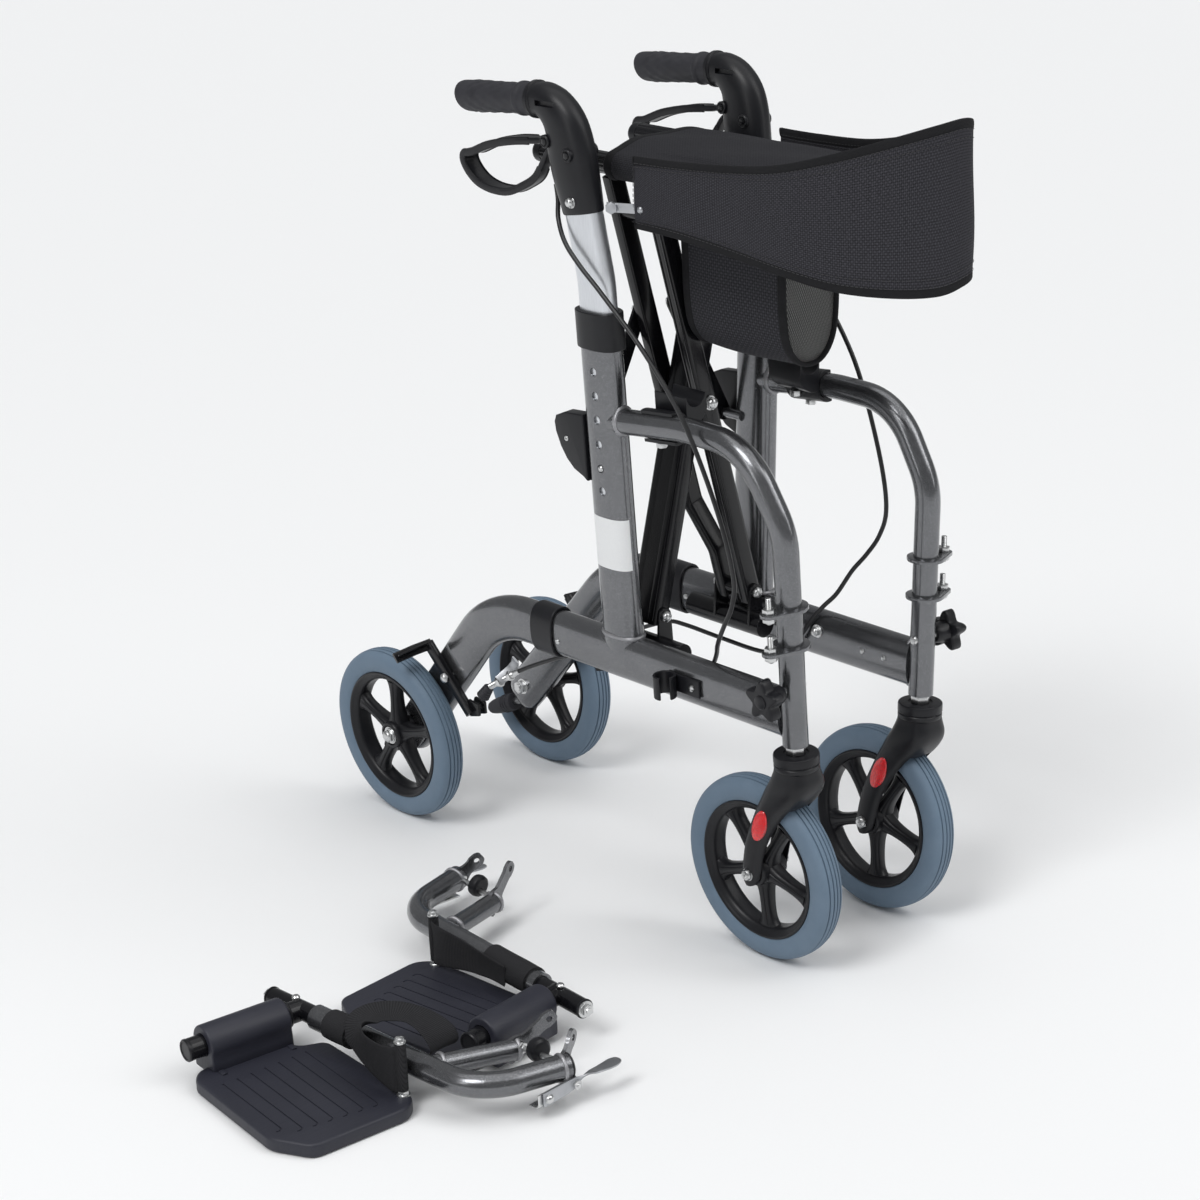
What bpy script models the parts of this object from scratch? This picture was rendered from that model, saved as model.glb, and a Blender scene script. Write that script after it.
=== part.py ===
import math

import bmesh
import bpy
from mathutils import Matrix, Vector

# Clearances
GAP = 0.0003
# Middle of the outer box and its lowest level, moved to the origin at the end
BOX_X = -0.260515
BOX_Y = -0.023060
BOX_Z = -0.000468
RUN = 0.0004
# Side plane: each side frame leans outward with height
SIDE_X = 0.094
SIDE_Z = 0.300
SPLAY = math.radians(2.77)
# Side frame tubes, half sizes of the oval across and along
OVAL_OX = 0.0140
OVAL_IN = 0.0250
OVAL_WALL = 0.0017
RAIL_OX = 0.0143
ROUND_R = 0.0130
RAIL_Z = 0.283
RAIL_REAR = 0.045
POST_Y = -0.315
POST_BOTTOM = 0.2516
UPRIGHT_Y = -0.070
UPRIGHT_TOP = 0.640
BORE_BOTTOM = 0.330
HOLE_R = 0.0045
OVAL_N = 18
WHEEL_N = 26
HOLE_ZS = (0.591, 0.566, 0.541, 0.5155, 0.490, 0.466)
RING_ZS = (0.397, 0.357)
RING_R = 0.0195
RING_THICK = 0.004
PIN_OX = 0.027
KNOB_Z = 0.312
KNOB_R = 0.022
KNOB_STUD_R = 0.004
# Wheels
TYRE_R = 0.100
TYRE_HALF = 0.0155
SEAT_R = 0.0757
RIM_HALF = 0.0115
HUB_R = 0.0165
AXLE_R = 0.004
REAR_Y = 0.3005
REAR_OX = 0.0275
FRONT_Y = -0.2615
REAR_HUB_HALF = 0.0150
FRONT_HUB_HALF = 0.0172
FORK_INNER = 0.0185
STEM_R = 0.005
# Rear leg
LEG_END_OX = 0.0085
LEG_SCOOP_R = 0.150
# Handle
TUBE_OX = OVAL_OX - OVAL_WALL - GAP
TUBE_IN = OVAL_IN - OVAL_WALL - GAP
HANDLE_BEND_Z = 0.682
HANDLE_LEAN = math.radians(9.5)
SOCKET_SLACK = 0.0006
GRIP_R = 0.015
LEVER_PIVOT = (-0.029, 0.816)
SLOT_HALF = 0.0065
# Brake arm
ARM_PIVOT = (0.217, 0.186)
ARM_OX = (0.0100, 0.0180)
# Cross frame
CROSS_Y = -0.071
PIVOT_X = 0.058
PIVOT_Z = 0.322
FOLD_ANGLE = math.radians(14.86)
HALF_ARM = 0.2262
ARM_L = 0.4790
BAR_A_Y = 0.020
BAR_W = 0.010
SEAT_RAIL_R = 0.011
LOWER_TUBE_X = 0.060
LOWER_TUBE_Z = 0.2856
CROSS_PIN_R = 0.004
LINK_Y = (-0.0345, -0.0315)
LINK_U = (0.0910, 0.498)
LINK_R = 0.3176

SIDES = (("left", 1), ("right", -1))
OX = Vector((1, 0, 0))
UP = Vector((0, 0, 1))

for item in list(bpy.data.objects):
    bpy.data.objects.remove(item, do_unlink=True)
bpy.context.scene.unit_settings.scale_length = 1.0

PAINTS = {
    "frame_metal": ((0.10, 0.10, 0.11), 0.35, 0.8),
    "silver_tube": ((0.62, 0.64, 0.68), 0.30, 0.9),
    "black_plastic": ((0.02, 0.02, 0.025), 0.5, 0.0),
    "black_tube": ((0.012, 0.012, 0.014), 0.3, 0.3),
    "grip_rubber": ((0.03, 0.03, 0.035), 0.7, 0.0),
    "tyre_rubber": ((0.16, 0.25, 0.33), 0.7, 0.0),
    "cable_jacket": ((0.01, 0.01, 0.01), 0.4, 0.0),
    "fabric": ((0.02, 0.02, 0.02), 0.9, 0.0),
    "webbing": ((0.015, 0.015, 0.015), 0.9, 0.0),
    "latch_steel": ((0.6, 0.6, 0.6), 0.3, 1.0),
}
materials = {}


def material_of(name):
    if name not in materials:
        colour, rough, metal = PAINTS[name]
        mat = bpy.data.materials.new(name)
        mat.use_nodes = True
        shader = mat.node_tree.nodes["Principled BSDF"]
        shader.inputs["Base Color"].default_value = (*colour, 1)
        shader.inputs["Roughness"].default_value = rough
        shader.inputs["Metallic"].default_value = metal
        mat.diffuse_color = (*colour, 1)
        materials[name] = mat
    return materials[name]


def side_point(p, s):
    """World place of a side-frame point (outboard, y, z)."""
    ox, y, z = p
    c = math.cos(SPLAY)
    n = math.sin(SPLAY)
    x = SIDE_X + ox * c + (z - SIDE_Z) * n
    return Vector((s * x, y, SIDE_Z + (z - SIDE_Z) * c - ox * n))


def raw(verts, faces, name="shape"):
    mesh = bpy.data.meshes.new(name)
    mesh.from_pydata([tuple(v) for v in verts], [], faces)
    bm = bmesh.new()
    bm.from_mesh(mesh)
    bmesh.ops.remove_doubles(bm, verts=bm.verts[:], dist=1e-7)
    bmesh.ops.recalc_face_normals(bm, faces=bm.faces[:])
    if bm.calc_volume(signed=True) < 0:
        bmesh.ops.reverse_faces(bm, faces=bm.faces[:])
    bm.to_mesh(mesh)
    bm.free()
    obj = bpy.data.objects.new(name, mesh)
    bpy.context.scene.collection.objects.link(obj)
    return obj


def loft(rings, loop=False):
    n = len(rings[0])
    verts = [p for ring in rings for p in ring]
    faces = []
    count = len(rings)
    for i in range(count if loop else count - 1):
        k = (i + 1) % count
        for j in range(n):
            m = (j + 1) % n
            faces.append((i * n + j, i * n + m, k * n + m, k * n + j))
    if not loop:
        faces.append(tuple(range(n))[::-1])
        faces.append(tuple((count - 1) * n + j for j in range(n)))
    return raw(verts, faces)


def combine(base, joined=(), cut=()):
    """Union, then difference, with every operand used up."""
    for other, kind in [(o, "UNION") for o in joined] + [(o, "DIFFERENCE") for o in cut]:
        mod = base.modifiers.new("bool", "BOOLEAN")
        mod.operation = kind
        mod.solver = "EXACT"
        mod.object = other
    graph = bpy.context.evaluated_depsgraph_get()
    mesh = bpy.data.meshes.new_from_object(base.evaluated_get(graph))
    base.modifiers.clear()
    base.data = mesh
    for other in list(joined) + list(cut):
        bpy.data.objects.remove(other, do_unlink=True)
    return base


def circle(r, n, turn=0.0):
    angles = [turn + 2 * math.pi * i / n for i in range(n)]
    return [(r * math.cos(a), r * math.sin(a)) for a in angles]


def oval(a, b, n=18, power=2.5):
    points = []
    for i in range(n):
        t = 2 * math.pi * i / n
        c = math.cos(t)
        s = math.sin(t)
        points.append((math.copysign(abs(c) ** (2 / power) * a, c), math.copysign(abs(s) ** (2 / power) * b, s)))
    return points


def rounded_path(points, radius, step=math.radians(15)):
    """A polyline with each inner corner replaced by an arc."""
    out = [Vector(points[0])]
    for i in range(1, len(points) - 1):
        p = Vector(points[i])
        a = (Vector(points[i - 1]) - p).normalized()
        b = (Vector(points[i + 1]) - p).normalized()
        turn = math.pi - a.angle(b)
        r = radius[i - 1] if isinstance(radius, (list, tuple)) else radius
        if turn < 1e-3 or r == 0:
            out.append(p)
            continue
        reach = r * math.tan(turn / 2)
        centre = p + (a + b).normalized() * (r / math.cos(turn / 2))
        start = p + a * reach - centre
        axis = start.cross(p + b * reach - centre).normalized()
        count = max(2, math.ceil(turn / step))
        for k in range(count + 1):
            out.append(centre + Matrix.Rotation(turn * k / count, 3, axis) @ start)
    out.append(Vector(points[-1]))
    return out


def tangents(path):
    steps = [(path[i + 1] - path[i]).normalized() for i in range(len(path) - 1)]
    out = [steps[0]]
    for i in range(1, len(path) - 1):
        out.append((steps[i - 1] + steps[i]).normalized())
    return out + [steps[-1]], steps


def sweep(path, sections, across=OX, loop=False):
    """Sections (a in the plane of the bend, b along the across axis) carried along a path."""
    path = [Vector(p) for p in path]
    dirs, steps = tangents(path)
    single = isinstance(sections[0][0], (int, float))
    rings = []
    for i, p in enumerate(path):
        t = dirs[i]
        b_axis = (across - t * across.dot(t)).normalized()
        a_axis = t.cross(b_axis)
        grow = 1.0
        if 0 < i < len(path) - 1:
            grow = 1 / max(0.6, t.dot(steps[i]))
        section = sections if single else sections[i]
        rings.append([p + a_axis * (a * grow) + b_axis * b for a, b in section])
    return loft(rings)


def tube(path, r, n=16):
    """A round bar along any path, with frames carried from point to point."""
    path = [Vector(p) for p in path]
    dirs, _ = tangents(path)
    side = dirs[0].orthogonal().normalized()
    rings = []
    for p, t in zip(path, dirs):
        side = (side - t * side.dot(t)).normalized()
        other = t.cross(side)
        rings.append([p + side * a + other * b for a, b in circle(r, n)])
    return loft(rings)


def bar(p0, p1, r, n=16):
    return tube([Vector(p0), Vector(p1)], r, n)


def prism(outline, lo, hi, axis="x"):
    """An outline pushed along one axis; (y,z) for x, (x,z) for y, (x,y) for z."""
    make = {
        "x": lambda u, v, w: Vector((w, u, v)),
        "y": lambda u, v, w: Vector((u, w, v)),
        "z": lambda u, v, w: Vector((u, v, w)),
    }[axis]
    return loft([[make(u, v, w) for u, v in outline] for w in (lo, hi)])


def box(lo, hi):
    return prism([(lo[0], lo[1]), (hi[0], lo[1]), (hi[0], hi[1]), (lo[0], hi[1])], lo[2], hi[2], "z")


def spin(profile, centre, n, axis="x", closed=True):
    """A profile of (radius, along) turned about an axis through centre."""
    frames = {
        "x": (Vector((0, 1, 0)), Vector((0, 0, 1)), Vector((1, 0, 0))),
        "y": (Vector((1, 0, 0)), Vector((0, 0, 1)), Vector((0, 1, 0))),
        "z": (Vector((1, 0, 0)), Vector((0, 1, 0)), Vector((0, 0, 1))),
    }[axis]
    c = Vector(centre)
    u, v, w = frames
    if closed:
        rings = []
        for i in range(n):
            t = 2 * math.pi * i / n
            rings.append([c + (u * math.cos(t) + v * math.sin(t)) * r + w * a for r, a in profile])
        return loft(rings, loop=True)
    return loft([[c + u * (r * math.cos(2 * math.pi * i / n)) + v * (r * math.sin(2 * math.pi * i / n)) + w * a for i in range(n)] for r, a in profile])


def pipe_section(outer, inner, lo, hi, centre, axis="z"):
    """A ring with the given outer and inner outlines between two levels."""
    body = prism([(centre[0] + a, centre[1] + b) for a, b in outer], lo, hi, axis)
    hole = prism([(centre[0] + a, centre[1] + b) for a, b in inner], lo - 0.002, hi + 0.002, axis)
    return combine(body, cut=[hole])


bodies = {}


def body(name, origin, parent=None):
    empty = bpy.data.objects.new("body_" + name, None)
    bpy.context.scene.collection.objects.link(empty)
    here = Vector(origin)
    if parent:
        empty.parent = bodies[parent][0]
        empty.location = here - bodies[parent][1]
    else:
        empty.location = here
    bodies[name] = (empty, here)


def emit(shape, name, body_name, paint, s=0, keep=False, flat=35):
    """Hand a finished shape over as a node of a body, mirrored and leaned for a side."""
    mesh = shape.data.copy()
    empty, origin = bodies[body_name]
    if s:
        for v in mesh.vertices:
            v.co = side_point(v.co, s) - origin
        if s < 0:
            mesh.flip_normals()
    else:
        for v in mesh.vertices:
            v.co = v.co - origin
    mesh.materials.clear()
    mesh.materials.append(material_of(paint))
    mesh.shade_smooth()
    mesh.set_sharp_from_angle(angle=math.radians(flat))
    mesh.name = name
    obj = bpy.data.objects.new(name, mesh)
    bpy.context.scene.collection.objects.link(obj)
    obj.parent = empty
    if not keep:
        bpy.data.objects.remove(shape, do_unlink=True)
    return obj


def both(shape, name, body_name, paint, flat=35):
    for word, s in SIDES:
        emit(shape, word + "_" + name, word + "_" + body_name, paint, s, keep=True, flat=flat)
    bpy.data.objects.remove(shape, do_unlink=True)


def side_line(points, ox=0.0):
    return [Vector((ox, y, z)) for y, z in points]


# Bodies and their joint centres
a_dir = Vector((math.sin(FOLD_ANGLE), 0, math.cos(FOLD_ANGLE)))
b_dir = Vector((-a_dir.x, 0, a_dir.z))
pivot_a = Vector((-PIVOT_X, CROSS_Y, PIVOT_Z))
pivot_b = Vector((PIVOT_X, CROSS_Y, PIVOT_Z))
middle = pivot_a + a_dir * HALF_ARM
body("right_frame", (0, 0, 0))
body("cross_a", pivot_a, "right_frame")
body("cross_b", middle, "cross_a")
body("left_frame", pivot_b, "cross_b")
for word, s in SIDES:
    frame = word + "_frame"
    body(word + "_link", (s * LINK_U[0], sum(LINK_Y) / 2, LINK_U[1]), frame)
    body(word + "_handle", side_point((0, UPRIGHT_Y, UPRIGHT_TOP), s), frame)
    body(word + "_lever", side_point((0, *LEVER_PIVOT), s), word + "_handle")
    body(word + "_brake_arm", side_point((sum(ARM_OX) / 2, *ARM_PIVOT), s), frame)
    body(word + "_caster", side_point((0, POST_Y, POST_BOTTOM), s), frame)
    body(word + "_front_wheel", side_point((0, FRONT_Y, TYRE_R), s), word + "_caster")
    body(word + "_rear_wheel", side_point((REAR_OX, REAR_Y, TYRE_R), s), frame)
    body(word + "_knob", side_point((0.03, POST_Y, KNOB_Z), s), frame)

body("backrest", (0, 0, 0), "right_handle")

# Side frames: rail, upright, arch with front post, pin rings
rail = sweep(side_line([(RAIL_REAR, RAIL_Z), (POST_Y + 0.006, RAIL_Z)]), oval(OVAL_IN, RAIL_OX, OVAL_N))
upright = sweep(side_line([(UPRIGHT_Y, RAIL_Z - 0.006), (UPRIGHT_Y, UPRIGHT_TOP)]), oval(OVAL_IN, OVAL_OX, OVAL_N))
arch_path = rounded_path(
    side_line([(-0.078, 0.5395), (-0.185, 0.5505), (-0.268, 0.549), (POST_Y, 0.472), (POST_Y, POST_BOTTOM)]),
    [0.20, 0.075, 0.075],
    math.radians(16),
)
arch = sweep(arch_path, circle(ROUND_R, 14, 0.11))
extras = [upright, arch]
for z in RING_ZS:
    big = [(a, POST_Y + b) for a, b in circle(RING_R, 14, 0.04)]
    small = [(PIN_OX + a, POST_Y + b) for a, b in circle(0.009, 8)]
    outline = [p for p in big if p[0] < 0.009] + [p for p in small if p[0] > PIN_OX - 0.001]
    outline.sort(key=lambda p: math.atan2(p[1] - POST_Y, p[0] - 0.012))
    extras.append(prism(outline, z - RING_THICK / 2, z + RING_THICK / 2, "z"))
    extras.append(bar((PIN_OX, POST_Y, z - 0.009), (PIN_OX, POST_Y, z + 0.018), 0.003, 8))
link_ox = LINK_U[0] - SIDE_X - (LINK_U[1] - SIDE_Z) * math.sin(SPLAY)
extras.append(bar((link_ox, -0.062, LINK_U[1]), (link_ox, LINK_Y[0] - 0.001, LINK_U[1]), 0.0055, 10))
extras.append(bar((link_ox, -0.050, LINK_U[1]), (link_ox, LINK_Y[1] + 0.004, LINK_U[1]), 0.0028, 8))
cuts = [prism([(a, UPRIGHT_Y + b) for b, a in oval(OVAL_IN - OVAL_WALL, OVAL_OX - OVAL_WALL)], BORE_BOTTOM, 0.70, "z")]
for z in HOLE_ZS:
    cuts.append(bar((0.002, UPRIGHT_Y, z), (0.02, UPRIGHT_Y, z), HOLE_R, 8))
cuts.append(bar((0, POST_Y, 0.24), (0, POST_Y, 0.296), STEM_R + RUN, 12))
cuts.append(bar((0.003, POST_Y, KNOB_Z), (0.02, POST_Y, KNOB_Z), KNOB_STUD_R + GAP, 10))
both(combine(rail, extras, cuts), "side_frame", "frame", "frame_metal")

# Rear legs with axle, brake pin and peg stub
axle_dir = Vector((0, REAR_Y - 0.1766, TYRE_R - 0.240)).normalized()
leg_path = [Vector((0, RAIL_REAR + GAP, RAIL_Z))]
for k in range(6):
    turn = math.radians(48.5) * k / 5
    leg_path.append(Vector((0, 0.08 + 0.13 * math.sin(turn), RAIL_Z - 0.13 * (1 - math.cos(turn)))))
leg_path.append(Vector((0, REAR_Y, TYRE_R)) + axle_dir * 0.025)
leg = sweep(leg_path, oval(OVAL_IN, OVAL_OX, OVAL_N))
scoop = bar((LEG_END_OX, REAR_Y, TYRE_R), (0.05, REAR_Y, TYRE_R), LEG_SCOOP_R, 30)
leg = combine(leg, cut=[scoop])
end = Vector((0, REAR_Y, TYRE_R)) + axle_dir * 0.025
peg_dir = Vector((0, 0.909, -0.418))
parts = [
    bar((-0.022, REAR_Y, TYRE_R), (REAR_OX + REAR_HUB_HALF + 0.0065, REAR_Y, TYRE_R), AXLE_R, 12),
    bar((REAR_OX + REAR_HUB_HALF + 0.0008, REAR_Y, TYRE_R), (REAR_OX + REAR_HUB_HALF + 0.0058, REAR_Y, TYRE_R), 0.0075, 6),
    bar((LEG_END_OX - 0.001, REAR_Y, TYRE_R), (REAR_OX - REAR_HUB_HALF - 0.0006, REAR_Y, TYRE_R), 0.0075, 12),
    bar((-0.0205, REAR_Y, TYRE_R), (-0.0135, REAR_Y, TYRE_R), 0.0075, 6),
    bar((LEG_END_OX - 0.002, *ARM_PIVOT), (ARM_OX[1] + 0.0045, *ARM_PIVOT), 0.003, 10),
    bar((ARM_OX[1] + GAP, *ARM_PIVOT), (ARM_OX[1] + 0.0040, *ARM_PIVOT), 0.0055, 6),
    bar(Vector((-0.004, 0.306, 0.0815)), Vector((-0.004, 0.306, 0.0815)) + peg_dir * 0.045, 0.005, 10),
]
both(combine(leg, parts), "rear_leg", "frame", "frame_metal")
peg_start = Vector((-0.004, 0.306, 0.0815)) + peg_dir * 0.022
peg = bar(peg_start, peg_start + peg_dir * 0.045, 0.0105, 14)
peg = combine(peg, cut=[bar(peg_start - peg_dir * 0.005, peg_start + peg_dir * 0.030, 0.005 + GAP, 10)])
both(peg, "tipping_peg", "frame", "black_plastic")
both(
    pipe_section(
        [(a, b) for b, a in oval(0.0280, 0.0170)],
        [(a, b) for b, a in oval(OVAL_IN + GAP, RAIL_OX + GAP, OVAL_N)],
        0.028, 0.062, (0, RAIL_Z), "y",
    ),
    "rear_leg_collar", "frame", "black_plastic",
)

# Clamp collar on the upright and the telescoping handle tube
collar = prism([(a, UPRIGHT_Y + b) for b, a in oval(0.0277, 0.0168)], 0.614, 0.652, "z")
collar = combine(collar, cut=[
    prism([(a, UPRIGHT_Y + b) for b, a in oval(OVAL_IN + GAP, OVAL_OX + GAP)], 0.60, UPRIGHT_TOP + GAP, "z"),
    prism([(a, UPRIGHT_Y + b) for b, a in oval(TUBE_IN + GAP, TUBE_OX + GAP)], 0.60, 0.66, "z"),
])
both(collar, "clamp_collar", "frame", "black_plastic")
bend = (UPRIGHT_Y, HANDLE_BEND_Z)
handle_top = (bend[0] + 0.113 * math.sin(HANDLE_LEAN), bend[1] + 0.113 * math.cos(HANDLE_LEAN))
both(
    sweep(side_line([(UPRIGHT_Y, 0.440), bend, handle_top]), oval(TUBE_IN, TUBE_OX)),
    "handle_tube", "handle", "silver_tube",
)

# Handle housing, lofted from the tube socket to the grip flange
HOUSING = (
    (-0.0595, 0.7410, 9.5, 0.0245, 0.0140),
    (-0.0570, 0.7570, 9, 0.0257, 0.0152),
    (-0.0515, 0.7850, 8, 0.0277, 0.0170),
    (-0.0425, 0.8290, 32, 0.0250, 0.0172),
    (-0.0315, 0.8435, 60, 0.0210, 0.0170),
    (-0.0180, 0.8510, 82, 0.0178, 0.0166),
    (-0.0065, 0.8515, 94.5, 0.0168, 0.0165),
)


def housing_ring(y, z, tilt, a, b, n=16):
    t = math.radians(tilt)
    along = Vector((0, math.cos(t), -math.sin(t)))
    return [Vector((0, y, z)) + along * u + OX * v for u, v in oval(a, b, n, 2.3)]


housing = loft([housing_ring(*row) for row in HOUSING])
flange = loft([housing_ring(y, z, 94.5, r, r) for y, z, r in (
    (-0.0085, 0.8517, 0.0168), (-0.0060, 0.8515, 0.0184), (-0.0015, 0.8512, 0.0184))])
pocket = prism(
    [(-0.0425, 0.806), (-0.0425, 0.822), (-0.0370, 0.829), (0.012, 0.829), (0.012, 0.770), (-0.0262, 0.770), (-0.0262, 0.797)],
    -SLOT_HALF, SLOT_HALF,
)
socket = sweep(
    side_line([bend, (handle_top[0] + SOCKET_SLACK * math.sin(HANDLE_LEAN), handle_top[1] + SOCKET_SLACK * math.cos(HANDLE_LEAN))]),
    oval(TUBE_IN + GAP, TUBE_OX + GAP),
)
housing = combine(housing, [flange], [socket, pocket])
housing = combine(housing, [
    bar((-0.012, *LEVER_PIVOT), (0.012, *LEVER_PIVOT), 0.003, 10),
    bar((0.012, -0.060, 0.806), (0.0190, -0.060, 0.806), 0.0060, 12),
    bar((0.012, LEVER_PIVOT[0], LEVER_PIVOT[1]), (0.0186, LEVER_PIVOT[0], LEVER_PIVOT[1]), 0.0065, 12),
])
both(housing, "handle_housing", "handle", "black_plastic")

# Grip with a collar ring and a slanted tail
GRIP = (
    (0.0000, 0.0145, 0.0), (0.0110, 0.0150, 0.0), (0.0170, 0.0163, 0.0), (0.0200, 0.0150, 0.0),
    (0.0450, 0.0149, 0.0), (0.0700, 0.0153, 0.0), (0.0920, 0.0156, 0.0), (0.1040, 0.0145, 10.0), (0.1085, 0.0118, 16.0),
)
grip_dir = Vector((0, math.cos(math.radians(4.5)), -math.sin(math.radians(4.5))))
grip_start = Vector((0, -0.0015 + GAP, 0.8512))
rings = []
for along, r, slant in GRIP:
    across = Vector((0, math.sin(math.radians(4.5 + slant)), math.cos(math.radians(4.5 + slant))))
    rings.append([grip_start + grip_dir * along + across * b + OX * a for a, b in circle(r, 16)])
both(loft(rings), "hand_grip", "handle", "grip_rubber", 50)

# Brake lever: a closed loop strip on a hub
LEVER = (
    (-0.0250, 0.8178, 6.0), (-0.0130, 0.8132, 6.0), (0.0000, 0.8110, 7.5), (0.0200, 0.8090, 9.0), (0.0400, 0.8060, 10.0),
    (0.0700, 0.7990, 10.0), (0.0960, 0.7890, 10.0), (0.1080, 0.7865, 10.0), (0.1110, 0.7790, 10.0), (0.1040, 0.7680, 10.0),
    (0.0900, 0.7580, 10.0), (0.0690, 0.7505, 9.5), (0.0450, 0.7520, 9.0), (0.0220, 0.7620, 8.0), (0.0040, 0.7745, 7.0),
    (-0.0075, 0.7900, 6.0), (-0.0160, 0.8015, 6.0), (-0.0258, 0.8098, 6.0),
)
path = [Vector((0, y, z)) for y, z, _ in LEVER]
sections = []
for i, (y, z, half) in enumerate(LEVER):
    thick = 0.0033 if 1 < i < len(LEVER) - 2 else 0.0027
    half = min(half / 1000, 0.0100)
    if half < 0.0065:
        half = SLOT_HALF - 0.0007
    sections.append(oval(thick, half, 8, 5))
strip = sweep(path, sections)
hub = bar((-SLOT_HALF + 0.0006, *LEVER_PIVOT), (SLOT_HALF - 0.0006, *LEVER_PIVOT), 0.0090, 16)
hub = combine(hub, [strip], [bar((-0.02, *LEVER_PIVOT), (0.02, *LEVER_PIVOT), 0.003 + RUN, 10)])
both(hub, "brake_lever", "lever", "black_plastic")

# Quadrant block behind the upright
FAN = (
    (-0.0446, 0.5410), (-0.0170, 0.5390), (-0.0030, 0.5330), (0.0000, 0.5260), (-0.0010, 0.5160), (-0.0070, 0.5010),
    (-0.0150, 0.4890), (-0.0250, 0.4800), (-0.0390, 0.4740), (-0.0446, 0.4700),
)
centre = (-0.026, 0.512)
rings = []
for ox, shrink in ((-0.0025, 0.95), (-0.001, 1.0), (0.0095, 1.0), (0.011, 0.95)):
    rings.append([Vector((ox, centre[0] + (y - centre[0]) * (shrink if y > -0.04 else 1), centre[1] + (z - centre[1]) * shrink)) for y, z in FAN])
both(loft(rings), "quadrant_block", "frame", "black_plastic")

# Rail cradle on the arch
cradle_dir = Vector((0, -0.06, 0.0057)).normalized()
c0 = Vector((0, -0.128, 0.5446))
c1 = c0 + cradle_dir * 0.045
sleeve = tube([c0, c1], 0.0168, 20)
rest_ox = -0.0270
rest_z = 0.577
saddle = prism(
    [(-0.0135, 0.545), (-0.0135, 0.5755), (-0.0150, 0.5765), (-0.0400, 0.5765), (-0.0415, 0.5755), (-0.0415, 0.560), (-0.036, 0.551), (-0.024, 0.545)],
    c1.y, c0.y, "y",
)
cradle = combine(sleeve, [saddle], [
    tube([c0 - cradle_dir * 0.01, c1 + cradle_dir * 0.01], ROUND_R + 0.0006, 16),
    bar((rest_ox, -0.22, rest_z), (rest_ox, -0.10, rest_z), SEAT_RAIL_R + 0.0014, 20),
])
both(cradle, "rail_cradle", "frame", "black_plastic")

# Wheels
def tyre_shape(ox, y):
    half = [(SEAT_R, RIM_HALF + 0.0012), (0.0850, TYRE_HALF), (0.0950, 0.0130), (TYRE_R, 0.0045)]
    profile = half + [(r, -a) for r, a in half[::-1]]
    return spin(profile, (ox, y, TYRE_R), WHEEL_N)


def rim_shape(ox, y, hub_half, turn):
    top = SEAT_R - GAP
    profile = [(top, RIM_HALF + 0.001), (top, -RIM_HALF - 0.001), (0.0690, -RIM_HALF - 0.001), (0.0655, -0.0085), (0.0655, 0.0085), (0.0690, RIM_HALF + 0.001)]
    ring = spin(profile, (ox, y, TYRE_R), WHEEL_N)
    pieces = [bar((ox - hub_half, y, TYRE_R), (ox + hub_half, y, TYRE_R), HUB_R, 14)]
    for k in range(5):
        t = turn + 2 * math.pi * k / 5
        u = Vector((0, math.cos(t), math.sin(t)))
        v = Vector((0, -math.sin(t), math.cos(t)))
        rows = []
        for along, wide, thick in ((0.010, 0.0090, 0.0085), (0.030, 0.0065, 0.0068), (0.0672, 0.0085, 0.0068)):
            rows.append([Vector((ox, y, TYRE_R)) + u * along + v * a + OX * b for a, b in oval(wide, thick, 6, 3)])
        pieces.append(loft(rows))
    return combine(ring, pieces, [bar((ox - 0.03, y, TYRE_R), (ox + 0.03, y, TYRE_R), AXLE_R + RUN, 10)])


both(tyre_shape(REAR_OX, REAR_Y), "rear_tyre", "rear_wheel", "tyre_rubber")
both(rim_shape(REAR_OX, REAR_Y, REAR_HUB_HALF, 0.35), "rear_rim", "rear_wheel", "black_plastic")
both(tyre_shape(0, FRONT_Y), "front_tyre", "front_wheel", "tyre_rubber")
both(rim_shape(0, FRONT_Y, FRONT_HUB_HALF, 0.9), "front_rim", "front_wheel", "black_plastic")

# Caster fork with cap, nut and stem
FORK = (
    (0.2060, -0.3150, 0.0215, 0.0220), (0.1980, -0.3150, 0.0222, 0.0240), (0.1880, -0.3135, 0.0220, 0.0258), (0.1700, -0.3045, 0.0200, 0.0264),
    (0.1500, -0.2920, 0.0172, 0.0264), (0.1250, -0.2765, 0.0147, 0.0260), (0.1000, -0.2615, 0.0138, 0.0254),
    (0.0910, -0.2600, 0.0110, 0.0250), (0.0865, -0.2595, 0.0060, 0.0245),
)
fork = loft([[Vector((b, y + a, z)) for a, b in oval(half, wide, 14, 3.5)] for z, y, half, wide in FORK])
cap = spin([(0.0215, 0.2020), (0.0232, 0.2080), (0.0232, 0.2330), (0.0215, 0.2400), (0.0190, 0.2430)], (0, POST_Y, 0), 16, "z", closed=False)
wheel_room = bar((-FORK_INNER, FRONT_Y, TYRE_R), (FORK_INNER, FRONT_Y, TYRE_R), TYRE_R + 0.0045, 30)
fork = combine(fork, [cap], [wheel_room])
fork = combine(fork, [
    bar((-0.0275, FRONT_Y, TYRE_R), (0.0275, FRONT_Y, TYRE_R), AXLE_R, 12),
    bar((0.0240, FRONT_Y, TYRE_R), (0.0290, FRONT_Y, TYRE_R), 0.0072, 12),
    bar((-0.0305, FRONT_Y, TYRE_R), (-0.0240, FRONT_Y, TYRE_R), 0.0070, 6),
    bar((0, POST_Y, 0.2400), (0, POST_Y, POST_BOTTOM - 0.0006), 0.0105, 6),
    bar((0, POST_Y, 0.2350), (0, POST_Y, 0.2900), STEM_R, 12),
])
both(fork, "caster_fork", "caster", "black_plastic")

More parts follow.
